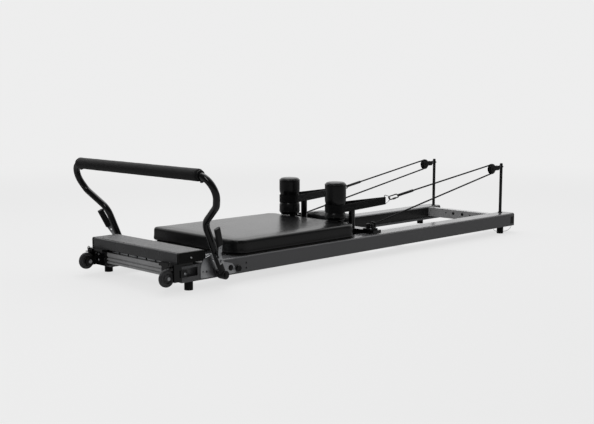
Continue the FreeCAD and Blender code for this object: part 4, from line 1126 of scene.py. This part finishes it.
def snap_link(side_name, shape):
    """An oval link, rolled so that it shows its side, with a threaded nut on one long side."""
    begin, end = (run_point(side_name, x) for x in LINK_SPAN[side_name])
    way = (end - begin).normalized()
    side = way.cross(UP).normalized()
    across = Matrix.Rotation(math.radians(LINK_ROLL), 3, way) @ side
    a, b = begin + way * LINK_HALF, end - way * LINK_HALF
    round_tip = arc_points(b, across, way, LINK_HALF, 0, math.pi, 14)
    round_heel = arc_points(a, across, way, LINK_HALF, math.pi, 2 * math.pi, 14)
    sweep(shape, round_tip + round_heel, round_section(LINK_ROD, 12), None, True)
    nut = [a.lerp(b, share) + across * LINK_HALF for share in (0.28, 0.30, 0.62, 0.64)]
    hexagon = [(1.7 * LINK_ROD * x, 1.7 * LINK_ROD * y) for x, y in round_section(1, 6)]
    sweep(shape, nut, hexagon)


links = bmesh.new()
for side_name in SIDES:
    snap_link(side_name, links)
sharpen(piece("strap_quick_links", links, "carriage", "black_metal", None, ("snap_links",)), 30)

# ---- springs ------------------------------------------------------------------------------

SPRING_GAP, SPRING_COUNT = 62.5 * MM, 5
SPRING_FROM, SPRING_TO, SPRING_Z = -1.063, -0.761, 0.088
SPRING_TURNS, SPRING_RADIUS, SPRING_WIRE, TAIL_RADIUS = 92.0, 9.9 * MM, 1.1 * MM, 1.6 * MM


def resistance_springs():
    """Coils under the carriage; the tail is bent over the bar at one end and straight at the other."""
    cloud = bpy.data.meshes.new("spring_spots")
    rows = [(number - 2) * SPRING_GAP for number in range(SPRING_COUNT)]
    cloud.from_pydata([(SPRING_FROM, y, SPRING_Z) for y in rows], [], [])
    coils = grown(bpy.data.objects.new("spring_spots", cloud), "coils",
                  {"Turns": SPRING_TURNS, "Radius": SPRING_RADIUS, "Length": SPRING_TO - SPRING_FROM,
                   "Wire": SPRING_WIRE, "Finish": MATERIALS["zinc"]})
    shape = bmesh.new()
    shape.from_mesh(coils)
    for y in rows:
        front = [Vector((-1.104, y, 0.098)), Vector((-1.104, y, 0.1005)), Vector((-1.076, y, 0.1005)),
                 Vector((-1.068, y, 0.097)), Vector((SPRING_FROM + 1 * MM, y + 4 * MM, SPRING_Z + 8 * MM))]
        back = [Vector((SPRING_TO - 1 * MM, y + 4 * MM, SPRING_Z + 8 * MM)),
                Vector((SPRING_TO + 5 * MM, y, SPRING_Z)), Vector((SPRING_TO + 13 * MM, y, SPRING_Z))]
        for hook in (front, back):
            sweep(shape, hook, round_section(TAIL_RADIUS, 8))
    springs = piece("spring_coils", shape, None, "zinc", None, ("resistance_springs",))
    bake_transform(springs)


resistance_springs()

# ---- wheels, knobs and fasteners ----------------------------------------------------------

WHEEL_RIBS, RIB_SIZE, RIB_REACH, RIB_OUT = 6, (12 * MM, 4.2 * MM, 2.4 * MM), 17 * MM, 3.8 * MM
# A rail's outer face, and the face of the plates and brackets that stand on it
RAIL_FACE, PLATE_FACE = 0.298, 0.302


def transport_wheel(side_name):
    """A rounded tyre on a hub with six ribs and a boss."""
    centre = Vector(JOINTS[f"{side_name}_wheel_spin"]["pos_m"])
    body, node = f"{side_name}_transport_wheel", f"{side_name}_wheel"
    half, rim, seat, bore = 7 * MM, 35 * MM, 25 * MM, 5.1 * MM
    shoulder = 4 * MM
    tread = [(-half, seat)]
    tread += [(-half + shoulder * (1 - math.cos(a)), rim - shoulder + shoulder * math.sin(a))
              for a in spread(6, 0, math.pi / 2)]
    tread += [(-along, reach) for along, reach in reversed(tread)]
    tyre = bmesh.new()
    lathe(tyre, tread, centre, "y", 72)
    sharpen(piece(f"{side_name}_wheel_tyre", tyre, body, "tyre", None, (node,)), 50)
    hub = bmesh.new()
    boss = half + 3.5 * MM
    one_side = [(boss, bore), (boss, 10 * MM), (half - 1 * MM, 12 * MM), (2 * MM, 13 * MM),
                (2 * MM, 21.5 * MM), (half + 0.3 * MM, 22 * MM), (half + 0.3 * MM, seat)]
    other_side = [(-along, reach) for along, reach in one_side]
    lathe(hub, other_side + one_side[::-1], centre, "y", 60)
    for turn in spread(WHEEL_RIBS + 1, 0, 2 * math.pi)[:WHEEL_RIBS]:
        for sign in (LEFT, RIGHT):
            made = bmesh.ops.create_cube(hub, size=1.0)["verts"]
            spoke = (Matrix.Translation(centre) @ Matrix.Rotation(turn, 4, "Y")
                     @ Matrix.Translation((RIB_REACH, sign * RIB_OUT, 0))
                     @ Matrix.Diagonal((*RIB_SIZE, 1)))
            bmesh.ops.transform(hub, matrix=spoke, verts=made)
    sharpen(piece(f"{side_name}_wheel_hub", hub, body, "tyre", HUB_PLASTIC, (node,)), 40)


KNOB_LOBES, KNOB_SIDES, LOBE_DEPTH = 6, 72, 0.10
# How far out from the rail's face and how wide, in millimetres, and how much of the lobes' depth
KNOB_PROFILE = [(-8, 3.4, 0), (1, 3.4, 0), (1, 8, 0), (4.4, 8, 0), (5, 12.4, 0.5), (6.2, 13.4, 1),
                (11, 13.4, 1), (12.4, 12.4, 1), (13, 10.6, 0.8), (12.4, 7, 0.1), (12.2, 0, 0)]


def pull_knob(side_name):
    """A lobed knob on its stem."""
    side = SIDES[side_name]
    low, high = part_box(f"{side_name}_pull_knob")
    middle = (low + high) / 2
    face = RAIL_FACE * side
    shape = bmesh.new()
    rings = []
    for out, reach, lobed in KNOB_PROFILE:
        if not reach:
            rings.append([shape.verts.new((middle.x, face + side * out * MM, middle.z))])
            continue
        ring = []
        for k in range(KNOB_SIDES):
            turn = 2 * math.pi * k / KNOB_SIDES
            wide = reach * (1 - lobed * LOBE_DEPTH * (1 - math.cos(KNOB_LOBES * turn)) / 2) * MM
            ring.append(shape.verts.new((middle.x + wide * math.cos(turn), face + side * out * MM,
                                         middle.z + wide * math.sin(turn))))
        rings.append(ring)
    for lower, upper in zip(rings, rings[1:]):
        for k in range(KNOB_SIDES):
            j = (k + 1) % KNOB_SIDES
            corners = [lower[k], lower[j], upper[j % len(upper)], upper[k % len(upper)]]
            shape.faces.new(list(dict.fromkeys(corners)))
    shape.faces.new(rings[0])
    sharpen(piece(f"{side_name}_lobed_knob", shape, f"{side_name}_knob", "black_plastic", None,
                  (f"{side_name}_pull_knob",)), 40)


for side_name in SIDES:
    transport_wheel(side_name)
    pull_knob(side_name)

OUT = {LEFT: Vector((0, 1, 0)), RIGHT: Vector((0, -1, 0))}
TO_THE_FOOT = Vector((-1, 0, 0))
SMALL_SCREW = socket_head("small_screw", 4.2 * MM, 2.4 * MM, 1.6 * MM, 1 * MM)
LARGE_SCREW = socket_head("large_screw", 5.6 * MM, 3.6 * MM, 2.4 * MM, 1 * MM)
PLATFORM_SCREWS = [(Vector((-1.059, side * RAIL_FACE, 0.131)), OUT[side]) for side in OUT]
BRACKET_SIDE_SCREWS = [(Vector((-1.095, side * PLATE_FACE, 0.072)), OUT[side]) for side in OUT]
BRACKET_END_SCREWS = [(Vector((-1.128, side * 0.240, z)), TO_THE_FOOT)
                      for side in OUT for z in (0.064, 0.090)]
CLEAT_SCREWS = [(Vector((x, side * y, 0.128)), UP)
                for side in OUT for x in (0.047, 0.083) for y in (0.223, 0.261)]
fasteners("platform_screws", SMALL_SCREW, PLATFORM_SCREWS, "root", "zinc", ("frame_screws",))
fasteners("bracket_screws", LARGE_SCREW, BRACKET_SIDE_SCREWS + BRACKET_END_SCREWS, "root", "zinc",
          ("frame_screws",))
fasteners("cleat_screws", SMALL_SCREW, CLEAT_SCREWS, "carriage", "zinc")
STUD_X, STUD_Z = -0.859, 0.066
STUD_DOME = [(-3 * MM, 0.0), (-3 * MM, 11 * MM), (1.6 * MM, 12 * MM), (2.8 * MM, 10.6 * MM),
             (3.4 * MM, 7 * MM), (3.5 * MM, 0.0)]
for side_name, side in SIDES.items():
    bumper = bmesh.new()
    lathe(bumper, [(side * along, reach) for along, reach in STUD_DOME],
          Vector((STUD_X, side * PLATE_FACE, STUD_Z)), "y", 40)
    sharpen(piece(f"{side_name}_plate_stud", bumper, "root", "black_plastic", None, ("frame_screws",)), 40)


def grip_sheet():
    """The anti-slip sheet on the standing platform, which laps over the ends of the board."""
    low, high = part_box("standing_platform")
    rim, over, thick, sunk = 9 * MM, 4 * MM, 0.8 * MM, 0.3 * MM
    shape = bmesh.new()
    corners = [Vector((low.x + rim, low.y - over, high.z)), Vector((high.x - rim, low.y - over, high.z)),
               Vector((high.x - rim, high.y + over, high.z)), Vector((low.x + rim, high.y + over, high.z))]
    below = [shape.verts.new(c - UP * sunk) for c in corners]
    above = [shape.verts.new(c + UP * thick) for c in corners]
    shape.faces.new(above)
    shape.faces.new(below)
    for i in range(4):
        j = (i + 1) % 4
        shape.faces.new((below[i], below[j], above[j], above[i]))
    sharpen(piece("platform_grip_sheet", shape, "root", "rubber", GRIT))


grip_sheet()
